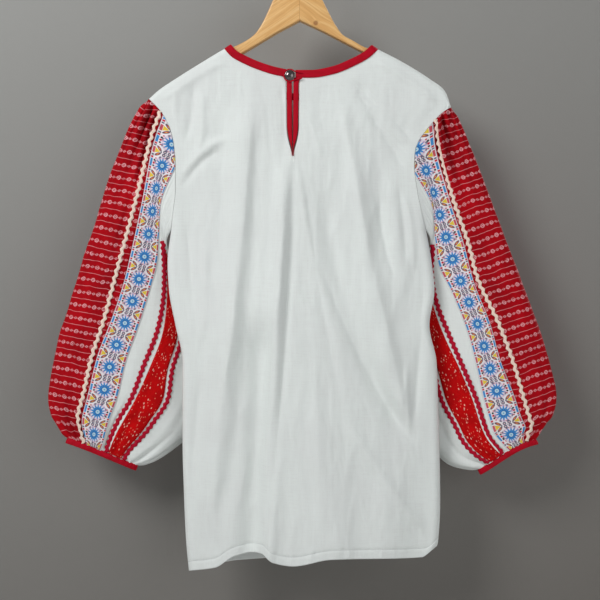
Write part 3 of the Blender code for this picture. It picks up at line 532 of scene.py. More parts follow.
def row_line(row, side, share):
    """The seen x and z along a sleeve's row, which bows up towards the shoulder."""
    run_x, run_z = row.inner_x - row.outer_x, row.inner_z - row.outer_z
    lift = row.bow * BOW_PEAK * share * (1 - share) ** 2 * side / math.hypot(run_x, run_z)
    return row.outer_x + run_x * share + run_z * lift, row.outer_z + run_z * share - run_x * lift


def sleeve_face(side, face):
    """One half of a sleeve, back (face -1) or front (face 1), before its gathers."""
    rows, strips = SLEEVES[side][1:], STRIPS[side]
    keys = [armhole(side, strip_shares(strips[0]), face)]
    for row, strip in zip(rows, strips[1:]):
        share = strip_shares(strip)
        x, z = row_line(row, side, share)
        round_off = (4 * share * (1 - share)) ** FOLD_ROUNDNESS
        middle = OUTER_Y + (row.inner_y - OUTER_Y) * share
        keys.append(np.stack([x, middle + face * row.half_depth * round_off, z], axis=-1))
    return through_rows(keys, ROWS)


def crumple(x, z, kind, shift):
    """Creases of the cloth, from a ridged noise of about -0.5 to 0.5, longer one way than the other."""
    places = np.stack([x / kind.across, z / kind.along], axis=-1).reshape(-1, 2)
    seed = kind.seed + shift
    found = [noise.ridged_multi_fractal(Vector((a, b, seed)), 0.9, 2.1, 3, 0.9, 1.6) for a, b in places]
    found = np.array(found).reshape(x.shape)
    return (found - found.mean()) / 2 * kind.height


def hem_relief(x, above_hem):
    """The groove of the hem's stitching and small puckers round it."""
    groove = HEM_GROOVE * np.exp(-(((above_hem - HEM_DEPTH) / HEM_GROOVE_WIDTH) ** 2))
    pucker = PUCKER * np.sin(x / 2.6 + 2.0 * np.sin(x / 19))
    return pucker * np.exp(-(((above_hem - PUCKER_PLACE) / PUCKER_REACH) ** 2)) - groove


def open_slit(x, z, slit):
    """Moves columns to the edges of the slit's cut, and those beside them along with them."""
    first, last = slit
    for column, sign, span in ((first, -1, slice(0, first + 1)), (last, 1, slice(last, None))):
        edge = x[:, column : column + 1].copy()
        height = z[:, column : column + 1]
        shift = SLIT_X + sign * slit_half(height) - edge
        shift = shift * (1 - smoothstep(SLIT_TIP_Z, SLIT_TIP_Z - SLIT_PULL_BELOW, height))
        x[:, span] += shift * np.exp(-(((x[:, span] - edge) / SLIT_PULL_WIDTH) ** 2))
    share = np.linspace(0, 1, last - first + 1)
    x[:, first : last + 1] = x[:, first : first + 1] * (1 - share) + x[:, last : last + 1] * share


def body_grid(face, columns, drops, slit=None):
    """Points of the back or front as rows from its top edge to its hem, and each point's UV.

    slit names the first and last column of the strip that is cut away above the slit's foot.
    """
    across = np.asarray(columns)[None, :]
    neck, hem_curve = (back_neck, back_hem) if face < 0 else (front_neck, front_hem)
    top_x = LEFT_TIP_X + WIDTH * across
    in_neck = (top_x > NECK_LEFT_X) & (top_x < NECK_RIGHT_X)
    top = np.where(in_neck, neck(top_x), shoulder(top_x))
    hem = hem_curve(across)
    z = top + (hem - top) * np.asarray(drops)[:, None]
    left, right = left_side(z), right_side(z)
    x = left + (right - left) * across
    if slit:
        open_slit(x, z, slit)
    y = body_depth(face, x, z, (x - left) / (right - left))
    above_hem = z - hem
    creases = sum(crumple(x, z, kind, face) for kind in BODY_CRUMPLES)
    if face < 0:
        creases = creases + fold_height(BACK_CREASES, x, z, fine=True)
    from_side = np.minimum(x - left, right - x)
    relief = hem_relief(x, above_hem) + creases * smoothstep(0, CREASES_FROM_SIDE, from_side)
    y += face * relief * smoothstep(0, RELIEF_FROM_TOP, top - z)
    points = true_place(np.stack([x, y, z], axis=-1))
    return points, np.stack([x, above_hem], axis=-1)


def pleats(run, count, seed):
    """Rounded ridges with narrow grooves between them, uneven in width, from -1 to 1."""
    wander = 0.35 * np.sin(2 * math.pi * 2.3 * run + seed) + 0.2 * np.sin(2 * math.pi * 5.1 * run)
    return 2 * np.abs(np.sin(math.pi * (count * run + wander))) ** 0.75 - 1


def gather_height(gathers, distance, run, side):
    """The height of gathers at a distance from their seam, run being 0 to 1 round the sleeve."""
    reach = gathers.reach * (1 + gathers.swing * np.sin(2 * math.pi * gathers.waves * run + side))
    near = np.exp(-((distance / reach) ** gathers.power))
    near = near * smoothstep(gathers.rise_from, gathers.rise_to, distance)
    return gathers.height * pleats(run, gathers.count, gathers.seed + side) * near


def groove_depth(side, column, from_head):
    """The depth of a sleeve's grooves, column being counted from the top fold."""
    depth = np.zeros_like(from_head)
    for groove in GROOVES:
        if groove.side == side:
            off = (column / STARTS.cream - groove.place) / groove.width
            depth += groove.depth * np.exp(-(off**2)) * np.exp(-((from_head / groove.reach) ** 2))
    return depth * smoothstep(0, GROOVES_FROM_HEAD, from_head)


def sleeve_grid(side):
    """A whole sleeve as one grid, with its outward directions and its plain points.

    Columns run from the front's inner fold over the top to the back's, and rows down to the cuff.
    """
    back, front = sleeve_face(side, -1), sleeve_face(side, 1)
    plain = np.concatenate([front[:, :0:-1], back], axis=1)
    outward = side * normals_of(plain)
    chord = plain[-1, 0] - plain[-1, HALF_COLUMNS]
    way = np.array([chord[2], 0.0, -chord[0]]) * -side / np.hypot(chord[0], chord[2])
    outward[-1] = unit(outward[-1] - (outward[-1] @ way)[:, None] * way)
    run = arc_of(plain[-1])
    run = run / run[-1]
    from_cuff = np.linalg.norm(plain - plain[-1:], axis=-1)
    from_head = np.linalg.norm(plain - plain[:1], axis=-1)
    column = np.abs(np.arange(plain.shape[1]) - HALF_COLUMNS)
    over = 1 - smoothstep(STARTS.cream, STARTS.white, column)
    height = gather_height(CUFF_GATHERS, from_cuff, run, side)
    height += gather_height(HEAD_GATHERS, from_head, run, side) * over
    along = arc_of(plain)
    creases = crumple(np.broadcast_to(run * SLEEVE_ROUND, along.shape), along, SLEEVE_CRUMPLE, side)
    more = 1 + OVERARM_CRUMPLE_MORE / SLEEVE_CRUMPLE.height * over
    height += creases * smoothstep(0, CREASES_FROM_HEAD, from_head) * more
    height -= groove_depth(side, column, from_head)
    grid = true_place(plain + outward * height[..., None])
    grid = np.concatenate([grid, grid[-1:] + way * CUFF_LIP])
    outward = np.concatenate([outward, outward[-1:]])
    plain = np.concatenate([plain, plain[-1:] + way * CUFF_LIP])
    return grid, outward, plain, way


def ride(obj, node):
    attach(obj, "root")
    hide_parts(node)
    return obj


def add_object(name, data):
    obj = bpy.data.objects.new(name, data)
    bpy.context.scene.collection.objects.link(obj)
    return obj


@contextmanager
def editing(mesh):
    """The mesh as a bmesh, which is written back at the end."""
    shape = bmesh.new()
    shape.from_mesh(mesh)
    yield shape
    shape.to_mesh(mesh)
    shape.free()


def mesh_of(name, points, faces, uvs, material):
    """A smooth mesh in metres, with a UV map named cloth that is in metres too."""
    mesh = bpy.data.meshes.new(name)
    mesh.from_pydata((points / METRE).tolist(), [], faces)
    layer = mesh.uv_layers.new(name="cloth")
    corners = np.empty(len(mesh.loops), np.int32)
    mesh.loops.foreach_get("vertex_index", corners)
    layer.data.foreach_set("uv", (uvs[corners] / METRE).astype(np.float32).ravel())
    mesh.shade_smooth()
    mesh.materials.append(material)
    return add_object(name, mesh)


def cloth(name, grid, uv, thickness, material, cut=None):
    """A panel or strip: a grid of points with the thickness of its cloth. cut marks cells to drop."""
    rows, columns = grid.shape[:2]
    number = np.arange(rows * columns).reshape(rows, columns)
    cells = np.stack([number[:-1, :-1], number[:-1, 1:], number[1:, 1:], number[1:, :-1]], axis=-1)
    keep = np.ones(cells.shape[:2], bool) if cut is None else ~cut
    obj = mesh_of(name, grid.reshape(-1, 3), cells[keep].tolist(), uv.reshape(-1, 2), material)
    with editing(obj.data) as shape:
        loose = [vert for vert in shape.verts if not vert.link_faces]
        bmesh.ops.delete(shape, geom=loose, context="VERTS")
    shell = obj.modifiers.new("Thickness", "SOLIDIFY")
    shell.thickness = thickness / METRE
    shell.offset = 0.0
    return obj


def sweep(name, path, across, outward, half_widths, half_thick, material, closed=False, sides=12):
    """A soft flat band along a path, its section a rounded oblong."""
    turn = np.linspace(0, 2 * math.pi, sides, endpoint=False)
    wide = np.sign(np.cos(turn)) * np.abs(np.cos(turn)) ** 0.6
    thick = np.sign(np.sin(turn)) * np.abs(np.sin(turn)) ** 0.8
    count = len(path)
    widths = np.broadcast_to(half_widths, count)[:, None] * wide
    section = across[:, None] * widths[..., None] + outward[:, None] * (half_thick * thick)[:, None]
    points = (path[:, None] + section).reshape(-1, 3)
    uv = np.stack([widths.ravel(), np.repeat(arc_of(path), sides)], axis=-1)
    faces = []
    for i in range(count if closed else count - 1):
        here, there = i * sides, (i + 1) % count * sides
        for k in range(sides):
            after = (k + 1) % sides
            faces.append((here + k, here + after, there + after, there + k))
    if not closed:
        faces.append(tuple(range(sides))[::-1])
        faces.append(tuple((count - 1) * sides + k for k in range(sides)))
    obj = mesh_of(name, points, faces, uv, material)
    with editing(obj.data) as shape:
        bmesh.ops.recalc_face_normals(shape, faces=shape.faces)
    return obj


class Field:
    """A number that varies over a surface, made from Math nodes with the usual operators.

    Masks are 0 to 1, and soft is the width over which they turn.
    """

    def __init__(self, tree, socket):
        self.tree, self.socket = tree, socket

    def math(self, operation, *others, clamp=False):
        sockets = dict(enumerate((self, *others)))
        node = add_node(self.tree, "Math", sockets, operation=operation, use_clamp=clamp)
        return Field(self.tree, node.outputs[0])

    def __add__(self, other):
        return self.math("ADD", other)

    def __sub__(self, other):
        return self.math("SUBTRACT", other)

    def __rsub__(self, other):
        return self.math("MULTIPLY_ADD", -1.0, other)

    def __mul__(self, other):
        return self.math("MULTIPLY", other)

    def __abs__(self):
        return self.math("ABSOLUTE")

    def near(self, other, period):
        """The distance to the nearest of the lines that lie a period apart, from one at other."""
        return abs(self.math("ADD", period / 2 - other).math("FLOORED_MODULO", period) - period / 2)

    def below(self, limit, soft=0.3):
        return self.math("MULTIPLY_ADD", -1 / soft, limit / soft + 0.5, clamp=True)

    def above(self, limit, soft=0.3):
        return self.math("MULTIPLY_ADD", 1 / soft, 0.5 - limit / soft, clamp=True)

    def within(self, low, high, soft=0.3):
        return self.above(low, soft) * self.below(high, soft)


def add_node(tree, kind, sockets, **settings):
    """A shader node with its settings. Each socket is linked to a field or socket, or gets a value."""
    node = tree.nodes.new("ShaderNode" + kind)
    for name, value in settings.items():
        setattr(node, name, value)
    for place, value in sockets.items():
        if isinstance(value, Field):
            value = value.socket
        if isinstance(value, bpy.types.NodeSocket):
            tree.links.new(value, node.inputs[place])
        else:
            node.inputs[place].default_value = value
    return node


def from_point(a, b, at_a=0.0, at_b=0.0):
    """The distance from a place in the plane of two fields."""
    return ((a - at_a).math("POWER", 2.0) + (b - at_b).math("POWER", 2.0)).math("SQRT")


class Look:
    """A material's shader, with a colour that is painted in layers."""

    def __init__(self, name, base, **values):
        self.material = bpy.data.materials.new(name)
        self.material.use_nodes = True
        self.tree = self.material.node_tree
        self.shader = self.tree.nodes["Principled BSDF"]
        self.colour = (*base, 1)
        values["Base_Color"] = self.colour
        for socket, value in values.items():
            self.shader.inputs[socket.replace("_", " ")].default_value = value

    def axes(self, vector, count):
        """The first numbers of a vector as fields, in millimetres."""
        split = add_node(self.tree, "SeparateXYZ", {0: vector})
        return [Field(self.tree, split.outputs[i]) * METRE for i in range(count)]

    def uv(self):
        """Both coordinates of the cloth."""
        return self.axes(add_node(self.tree, "UVMap", {}, uv_map="cloth").outputs[0], 2)

    def place(self):
        """The place on the object, as three fields."""
        return self.axes(add_node(self.tree, "TexCoord", {}).outputs["Object"], 3)

    def vector(self, fields):
        return add_node(self.tree, "CombineXYZ", dict(enumerate(fields))).outputs[0]

    def noise(self, fields, detail=2.0, distortion=0.0):
        sockets = {"Vector": self.vector(fields), "Scale": 1.0, "Detail": detail}
        sockets["Distortion"] = distortion
        return Field(self.tree, add_node(self.tree, "TexNoise", sockets).outputs[0])

    def specks(self, fields):
        """The distance to the nearest of some scattered points."""
        sockets = {"Vector": self.vector(fields), "Scale": 1.0}
        return Field(self.tree, add_node(self.tree, "TexVoronoi", sockets).outputs["Distance"])

    def paint(self, mask, colour, strength=1.0):
        """Lays a colour over what is there, where the mask is 1."""
        if strength != 1.0:
            mask = mask * strength
        sockets = {0: mask, 6: self.colour, 7: (*colour, 1)}
        self.colour = add_node(self.tree, "Mix", sockets, data_type="RGBA").outputs[2]
        self.tree.links.new(self.colour, self.shader.inputs["Base Color"])

    def bump(self, height, depth):
        """Relief, its depth in millimetres for a height of 1."""
        sockets = {"Strength": 1.0, "Distance": depth / METRE, "Height": height}
        normal = add_node(self.tree, "Bump", sockets).outputs[0]
        self.tree.links.new(normal, self.shader.inputs["Normal"])

    def weave(self, u, v, pitch, depth, slub=0.0):
        """The crossing threads of a plain weave, with uneven thick threads where slub is over 0."""
        height = (u * (math.pi / pitch)).math("SINE") * (v * (math.pi / pitch)).math("SINE")
        if slub:
            thick = self.noise((u * 0.05, v * 1.1, 0.0)) + self.noise((u * 1.1, v * 0.05, 5.0))
            height = height + thick * slub
        self.bump(height, depth)


def linear(red, green, blue):
    """A colour given as 0 to 255 on screen, as the shader wants it."""
    values = (red / 255, green / 255, blue / 255)
    return tuple(v / 12.92 if v <= 0.04045 else ((v + 0.055) / 1.055) ** 2.4 for v in values)


WHITE = linear(230, 235, 232)
BINDING_RED = linear(190, 0, 34)
BRAID_RED = linear(190, 0, 44)
PRINT_RED = linear(186, 0, 18)
BAND_RED = linear(208, 0, 4)
PALE_PINK = linear(244, 178, 184)
CREAM = linear(250, 228, 212)
SKY = linear(62, 148, 214)
DEEP_BLUE = linear(30, 100, 178)
NAVY = linear(28, 38, 84)
BLACK_GREEN = linear(22, 34, 36)
RIBBON_RED = linear(206, 26, 58)
RIBBON_YELLOW = linear(238, 206, 62)
RIBBON_WHITE = linear(246, 238, 242)
WALL_GREY = linear(154, 154, 151)
WALL_PAINTED_SHADE = linear(106, 102, 97)
FLOOR_GREY = (0.62, 0.62, 0.61)

STRIPE_STEP = 18.5
BLOSSOM_STEP = 13.4
FLOWER_STEP = 32.3
FLOWER_RAYS = 14
KNOT = (24.0, -108.0)
JOINT_X = 1.4


def white_cotton():
    look = Look("white_cotton_look", WHITE, Roughness=0.82, Specular_IOR_Level=0.2)
    x, y, z = look.place()
    weft = look.noise((x * 0.05, y * 0.05, z * 0.9), 3.0)
    warp = look.noise((x * 0.9, y * 0.05, z * 0.035), 3.0)
    look.paint((weft + warp).above(1.1), linear(221, 223, 221), 0.45)
    cloud = look.noise((x * 0.012, y * 0.012, z * 0.008), 3.0)
    look.paint(cloud.above(0.56, 0.25), linear(222, 224, 223), 0.4)
    look.paint(abs(look.uv()[1] - HEM_DEPTH).below(0.5, 0.6), linear(196, 199, 199), 0.55)
    look.weave(x, z, 0.55, 0.07, 1.0)
    return look.material


def stripe_print():
    """Thin lines across the cloth, with a row of large and small blossoms between each two, over painted
    shade: long dark streaks along the sleeve, and darker ones below its gathered head.
    """
    look = Look("striped_red_print_look", PRINT_RED, Roughness=0.78, Specular_IOR_Level=0.12)
    u, v = look.uv()
    # Painted shade: long dark streaks along the sleeve stand in for the shade of its folds
    shade = look.noise((u * 0.03, v * 0.012, 0.0), 3.0)
    look.paint(shade.above(0.5, 0.4), linear(140, 0, 14), 0.8)
    # Painted shade: narrow dark streaks down from the sleeve's head, where the grooves of its gathers
    # lie in shade
    gathers = look.noise((u * 0.13, v * 0.012, 12.0))
    look.paint(gathers.above(0.5, 0.14) * v.below(60.0, 120.0), linear(112, 0, 12), 0.75)
    v = v + look.noise((u * 0.035, v * 0.01, 8.0)) * 9.0
    line = v.near(0, STRIPE_STEP)
    wobble = look.noise((u * 0.12, v * 0.12, 3.0))
    look.paint(line.below(0.3, 0.4), PALE_PINK, 0.75)
    from_row = v.near(STRIPE_STEP / 2, STRIPE_STEP)
    big = from_point(u.near(0, BLOSSOM_STEP), from_row)
    small = from_point(u.near(BLOSSOM_STEP / 2, BLOSSOM_STEP), from_row)
    petals = look.noise((u * 0.9, v * 0.9, 1.0))
    faded = look.noise((u * 0.16, v * 0.16, 6.0)).within(0.38, 1.0)
    look.paint((big - petals * 1.6).within(0.8, 2.0, 0.6) * faded, PALE_PINK, 0.9)
    look.paint(big.below(0.7, 0.4), PALE_PINK, 0.8)
    look.paint((small - petals * 0.8).within(0.5, 1.3, 0.5) * faded, PALE_PINK, 0.7)
    look.paint(from_row.below(0.5, 0.4) * petals.above(0.45, 0.2), PALE_PINK, 0.5)
    look.paint(wobble.above(0.55, 0.2) * line.below(0.6, 0.4), PRINT_RED, 0.4)
    look.weave(u, v, 0.5, 0.10, 1.0)
    return look.material


def dotted_print():
    look = Look("dotted_red_print_look", BAND_RED, Roughness=0.75, Specular_IOR_Level=0.12)
    u, v = look.uv()
    shade = look.noise((u * 0.05, v * 0.05, 0.0), 3.0)
    look.paint(shade.above(0.5), linear(164, 0, 4), 0.6)
    look.paint(look.specks((u * 0.2, v * 0.13, 0.0)).below(0.2, 0.05), linear(246, 186, 170), 0.9)
    look.paint(look.specks((u * 0.24, v * 0.2, 4.0)).below(0.17, 0.05), linear(240, 128, 104), 0.85)
    look.weave(u, v, 0.5, 0.10, 1.0)
    return look.material


def flower_ribbon():
    """Daisies along the ribbon's middle, with small motifs between them and a border at both edges."""
    look = Look("flower_ribbon_look", RIBBON_WHITE, Roughness=0.6, Specular_IOR_Level=0.3)
    u, v = look.uv()
    a = abs(u)
    t = v.near(0, FLOWER_STEP)
    b = v.near(FLOWER_STEP / 2, FLOWER_STEP)
    signed = (v + FLOWER_STEP / 2).math("FLOORED_MODULO", FLOWER_STEP) - FLOWER_STEP / 2
    angle = signed.math("ARCTAN2", u)
    rays = (angle * FLOWER_RAYS).math("COSINE")
    radius = from_point(a, t)
    look.paint(radius.below(12.4, 0.8), linear(226, 214, 230), 0.8)
    look.paint(rays.above(0.1, 0.5) * radius.within(9.2, 11.2, 0.5), linear(172, 120, 176), 0.7)
    look.paint((angle * 8).math("SINE").above(0.5, 0.5) * radius.within(10.6, 12.6, 0.4), NAVY, 0.75)
    look.paint((radius - rays * 1.4).below(8.4, 0.6), SKY)
    look.paint(rays.below(-0.4, 0.5) * radius.within(6.4, 9.4, 0.5), RIBBON_WHITE, 0.75)
    look.paint(rays.below(-0.1, 0.8) * radius.within(3.4, 6.6, 0.5), DEEP_BLUE, 0.8)
    look.paint(radius.within(2.6, 4.0, 0.5), DEEP_BLUE, 0.8)
    look.paint(radius.below(2.8, 0.5), linear(196, 226, 236))
    look.paint(radius.below(1.0, 0.5), SKY, 0.8)
    ring = from_point(a, b, 3.0, 2.2)
    look.paint(ring.within(0.9, 2.2, 0.4), NAVY, 0.9)
    look.paint(ring.below(0.5, 0.4), RIBBON_RED, 0.8)
    Dot = namedtuple("Dot", "along at_a at_along radius colour strength")
    dots = table(
        Dot,
        (b, 0.0, 5.0, 0.8, RIBBON_RED, 0.7), (b, 0.0, 0.0, 0.8, NAVY, 0.7),
        (b, 7.2, 0.0, 1.0, NAVY, 0.85), (t, 13.2, 0.0, 1.5, RIBBON_RED, 1.0),
        (t, 13.0, 3.6, 1.3, BLACK_GREEN, 1.0), (t, 11.6, 6.4, 1.0, RIBBON_RED, 0.9),
    )
    for dot in dots:
        mask = from_point(a, dot.along, dot.at_a, dot.at_along).below(dot.radius)
        look.paint(mask, dot.colour, dot.strength)
    wedge = (b - (a - 9.0) * 0.5).below(0.4, 0.5) * a.within(9.4, 15.2, 0.4)
    look.paint(wedge, RIBBON_YELLOW)
    from_a, from_b = a - 10.8, b - 3.9
    along = from_a * 0.78 + from_b * 0.62
    beside = from_b * 0.78 - from_a * 0.62
    leaf = from_point(along * 0.22, beside * 0.6)
    look.paint(leaf.below(1.0, 0.2), BLACK_GREEN, 0.9)
    look.paint(leaf.below(0.6, 0.2), linear(208, 66, 84))
    look.paint(leaf.below(0.28, 0.2), RIBBON_YELLOW, 0.8)
    border = a.within(15.6, 18.2)
    look.paint(border * t.below(4.6), SKY)
    look.paint(border * t.within(5.4, 7.8), RIBBON_RED)
    look.paint(border * t.within(8.6, 10.6), NAVY, 0.85)
    look.paint(border * b.below(4.0), RIBBON_RED, 0.9)
    look.paint(a.above(18.2), linear(240, 234, 242))
    look.weave(u, v, 0.45, 0.12)
    return look.material


def red_cloth(name, colour, darker):
    look = Look(name, colour, Roughness=0.7, Specular_IOR_Level=0.15)
    u, v = look.uv()
    look.paint(look.noise((u * 0.12, v * 0.05, 0.0), 3.0).above(0.5), darker, 0.6)
    look.weave(u, v, 0.6, 0.12, 0.8)
    return look.material


def braid(name, colour, darker):
    look = Look(name, colour, Roughness=0.72, Specular_IOR_Level=0.2)
    u, v = look.uv()
    strands = ((u - v * 0.5) * 2.4).math("SINE")
    look.paint(strands.below(-0.3, 0.8), darker, 0.5)
    look.bump(strands, 0.15)
    return look.material


def pine_wood():
    """Grain along both arms, which meet at a joint in the middle, and one knot."""
    varnish = {"Roughness": 0.42, "Coat_Weight": 0.25, "Coat_Roughness": 0.25}
    look = Look("pine_look", linear(234, 186, 118), **varnish)
    x, y, z = look.place()
    out = abs(x)
    along = out * 0.83 - z * 0.56
    across = out * 0.56 + z * 0.83
    side = x.above(JOINT_X, 0.4)
    knot = from_point(x, z, *KNOT)
    bend = (knot * -0.12).math("EXPONENT") * 9
    grain = look.noise((along * 0.012 + side * 7, (across + bend) * 0.28, y * 0.28), 4.0, 0.6)
    fine = look.noise((along * 0.05 + side * 3, across * 1.6, y * 1.6))
    look.paint(grain.above(0.5, 0.22), linear(206, 150, 84), 0.6)
    look.paint(grain.below(0.42, 0.12), linear(232, 190, 132), 0.6)
    look.paint(fine.above(0.6, 0.15), linear(168, 112, 60), 0.25)
    look.paint(knot.below(3.2, 2.0), linear(140, 84, 40), 0.75)
    look.paint(abs(x - JOINT_X).below(0.35, 0.4) * abs(y).below(7.0), linear(170, 116, 62), 0.6)
    look.bump(fine, 0.05)
    return look.material


def metal(name, colour, roughness):
    look = Look(name, colour, Roughness=roughness, Metallic=1.0)
    x, y, z = look.place()
    look.bump(look.noise((x * 1.5, y * 1.5, z * 1.5)), 0.04)
    return look.material


LOOKS = {
    "white": white_cotton(),
    "stripe": stripe_print(),
    "ribbon": flower_ribbon(),
    "dots": dotted_print(),
    "red": braid("red_braid_look", BRAID_RED, linear(120, 0, 22)),
    "cream": braid("cream_braid_look", CREAM, linear(222, 190, 168)),
    "binding": red_cloth("red_binding_look", BINDING_RED, linear(160, 0, 20)),
    "pine": pine_wood(),
    "steel": metal("steel_look", linear(190, 190, 192), 0.25),
    "button": metal("dark_metal_look", linear(120, 112, 112), 0.16),
}


def spaced(low, high, step):
    """Places from low up to, and not with, high."""
    count = max(1, round((high - low) / step))
    return np.linspace(low, high, count, endpoint=False)


# Distances from an edge at which the shoulder's quarter circle turns evenly
TURN = SHOULDER_ROLL * (1 - np.cos(np.linspace(0, math.pi / 2, 6)))
NEAR_HEM = np.array([20.0, 17.0, 15.2, 14.0, 13.0, 12.0, 10.8, 8.0, 4.5, 1.5, 0.0])


def columns_of(step, slit=False):
    """Column places across the body as shares, and the slit's first and last column."""
    turn = TURN / WIDTH
    step = step / WIDTH
    parts = [turn[:-1], spaced(turn[-1], NECK_LEFT, step)]
    if slit:
        slit_left = (SLIT_X - SLIT_CUT_HALF - LEFT_TIP_X) / WIDTH
        slit_right = (SLIT_X + SLIT_CUT_HALF - LEFT_TIP_X) / WIDTH
        parts.append(spaced(NECK_LEFT, slit_left, step))
        first = sum(len(part) for part in parts)
        parts.append(np.linspace(slit_left, slit_right, SLIT_CELLS, endpoint=False))
        parts.append(spaced(slit_right, NECK_RIGHT, step))
        cut = (first, first + SLIT_CELLS)
    else:
        parts.append(spaced(NECK_LEFT, NECK_RIGHT, step))
        cut = None
    parts += [spaced(NECK_RIGHT, 1 - turn[-1], step), 1 - turn[::-1]]
    return np.concatenate(parts), cut


def drops_of(step):
    """Row places from the top edge to the hem as shares, closer together at both edges."""
    near_hem = BODY_LENGTH - NEAR_HEM
    rows = [TURN[:-1], spaced(TURN[-1], near_hem[0], step), near_hem]
    return np.concatenate(rows) / BODY_LENGTH


back_columns, slit = columns_of(2.4, slit=True)
back_drops = drops_of(3.3)
back_points, back_uv = body_grid(-1, back_columns, back_drops, slit)
tip_row = int(np.argmax(back_points[:, slit[0], 2] < SLIT_TIP_Z))
slit_cells = np.zeros((len(back_drops) - 1, len(back_columns) - 1), bool)
slit_cells[:tip_row, slit[0] : slit[1]] = True
back = ride(cloth("back_cloth", back_points, back_uv, CLOTH, LOOKS["white"], slit_cells), "back_panel")
front_columns, _ = columns_of(5.0)
front_points, front_uv = body_grid(1, front_columns, drops_of(5.0))
front = ride(cloth("front_cloth", front_points, front_uv, CLOTH, LOOKS["white"]), "front_panel")


def slit_binding(name, column, sign):
    """A soft flat band down one side of the slit, to a point. The right one flares at the top."""
    path = back_points[1 : tip_row + 1, column].copy()
    share = np.linspace(0, 1, len(path))
    inner = SLIT_OPEN_HALF[0] + (SLIT_OPEN_HALF[1] - SLIT_OPEN_HALF[0]) * share
    flare = SLIT_FLARE * np.exp(-((share / SLIT_FLARE_SHARE) ** 2)) if sign > 0 else 0
    outer = np.maximum(slit_half(path[:, 2]) - SLIT_NARROWING, SLIT_OPEN_HALF[1] + SLIT_NARROWING)
    outer = outer + flare
    path[:, 0] = SLIT_X + sign * (outer + inner) / 2
    path[:, 1] -= SLIT_BINDING / 2 + CLOTH / 2 - SLIT_SINK
    path[-1, 2] -= SLIT_POINT
    across = np.tile((1.0, 0.0, 0.0), (len(path), 1))
    outward = np.tile((0.0, -1.0, 0.0), (len(path), 1))
    half = np.abs(outer - inner) / 2
    band = sweep(name + "_cloth", path, across, outward, half, SLIT_BINDING / 2, LOOKS["binding"])
    return ride(band, name)


def neck_path():
    """Points and outward directions along the neck edge, from the slit's right side to its left."""
    in_neck = (back_columns >= NECK_LEFT - TINY) & (back_columns <= NECK_RIGHT + TINY)
    number = np.arange(len(back_columns))
    right = number[in_neck & (number >= slit[1])]
    left = number[in_neck & (number <= slit[0])]
    inside = (front_columns > NECK_LEFT + TINY) & (front_columns < NECK_RIGHT - TINY)
    across_front = np.nonzero(inside)[0][::-1]
    back_out = -normals_of(back_points)[2]
    front_out = normals_of(front_points)[2]
    points = np.concatenate([back_points[0, right], front_points[0, across_front], back_points[0, left]])
    outward = np.concatenate([back_out[right], front_out[across_front], back_out[left]])
    for corner, side in ((len(right) - 1, 1), (len(right) + len(across_front), -1)):
        points[corner, 1] = 0.0
        outward[corner] = (side * math.sin(SHOULDER_SLOPE), 0.0, math.cos(SHOULDER_SLOPE))
    return points, outward


def neck_binding():
    points, outward = neck_path()
    points[0] += unit(points[0] - points[1]) * NECK_OVERLAP
    arc = arc_of(points)
    places = np.arange(0, arc[-1], NECK_STEP)
    points = resample(points, arc, places)
    outward = unit(resample(outward, arc, places))
    for _ in range(NECK_SMOOTHINGS):
        outward[1:-1] = unit(outward[:-2] + outward[1:-1] + outward[2:])
        points[1:-1] = (points[:-2] + 2 * points[1:-1] + points[2:]) / 4
    inward = unit(np.cross(outward, unit(np.gradient(points, axis=0))))
    half = NECK_BINDING_WIDTH / 2
    path = points + inward * (half - NECK_INSET) + outward * NECK_LIFT
    thick, look = BINDING / 2, LOOKS["binding"]
    band = sweep("neck_binding_cloth", path, inward, outward, half, thick, look, sides=14)
    return ride(band, "neck_binding")


bindings = [
    slit_binding("slit_binding_left", slit[0], -1),
    slit_binding("slit_binding_right", slit[1], 1),
    neck_binding(),
]


def stripe_uv(plain, side):
    """Stripes that run across the sleeve: their place along it and the way round it."""
    tilt = STRIPE_TILT[side]
    axis = np.array([math.sin(tilt), 0.0, -math.cos(tilt)])
    along = (plain - plain[0, HALF_COLUMNS]) @ axis
    run = arc_of(plain - (plain @ axis)[..., None] * axis, axis=1)
    return np.stack([run - run[:, HALF_COLUMNS : HALF_COLUMNS + 1], along], axis=-1)


def strip_uv(points, width):
    """The way across a strip and the way along its centre line, both as the band was woven."""
    middle = points[:, points.shape[1] // 2]
    added = middle[0] - unit(middle[6] - middle[0]) * RIBBON_ADDED
    line = np.concatenate([added[None], middle])
    arc = arc_of(line)
    start, step = line[:-1], np.diff(line, axis=0)
    flat = points.reshape(-1, 1, 3)
    share = np.clip(((flat - start) * step).sum(axis=-1) / (step * step).sum(axis=-1), 0, 1)
    gap = np.linalg.norm(start + share[..., None] * step - flat, axis=-1)
    nearest = gap.argmin(axis=1)
    share = share[np.arange(len(nearest)), nearest]
    along = arc[nearest] + share * (arc[nearest + 1] - arc[nearest])
    across = np.broadcast_to(np.linspace(-0.5, 0.5, points.shape[1]), points.shape[:2]) * width
    return np.stack([across, along.reshape(points.shape[:2])], axis=-1)


def along_at(points, uv, place):
    """How far along a strip the place seen at x and z lies."""
    gap = np.hypot(points[..., 0] - place[0], points[..., 2] - place[1])
    row, column = np.unravel_index(gap.argmin(), gap.shape)
    return uv[row, column, 1]


def place_of(trim, sign):
    """The rows of a trim, which ends above the cuff, and its columns from its outer edge inward."""
    start = getattr(STARTS, trim.strip)
    columns = np.arange(start, start + getattr(CELLS, trim.strip) + 1)
    return slice(int(np.argmax(ROWS >= trim.first_row)), -1), HALF_COLUMNS + sign * columns


def build_band(name, side, sign, band, lifted):
    rows, columns = place_of(band, sign)
    points = lifted[rows][:, columns]
    uv = strip_uv(points, RIBBON_WIDTH)
    if band.name == "ribbon":
        uv[..., 1] -= along_at(points, uv, FLOWER_PLACE[side])
    return ride(cloth(name + "_cloth", points, uv, RIBBON, LOOKS[band.look]), name)


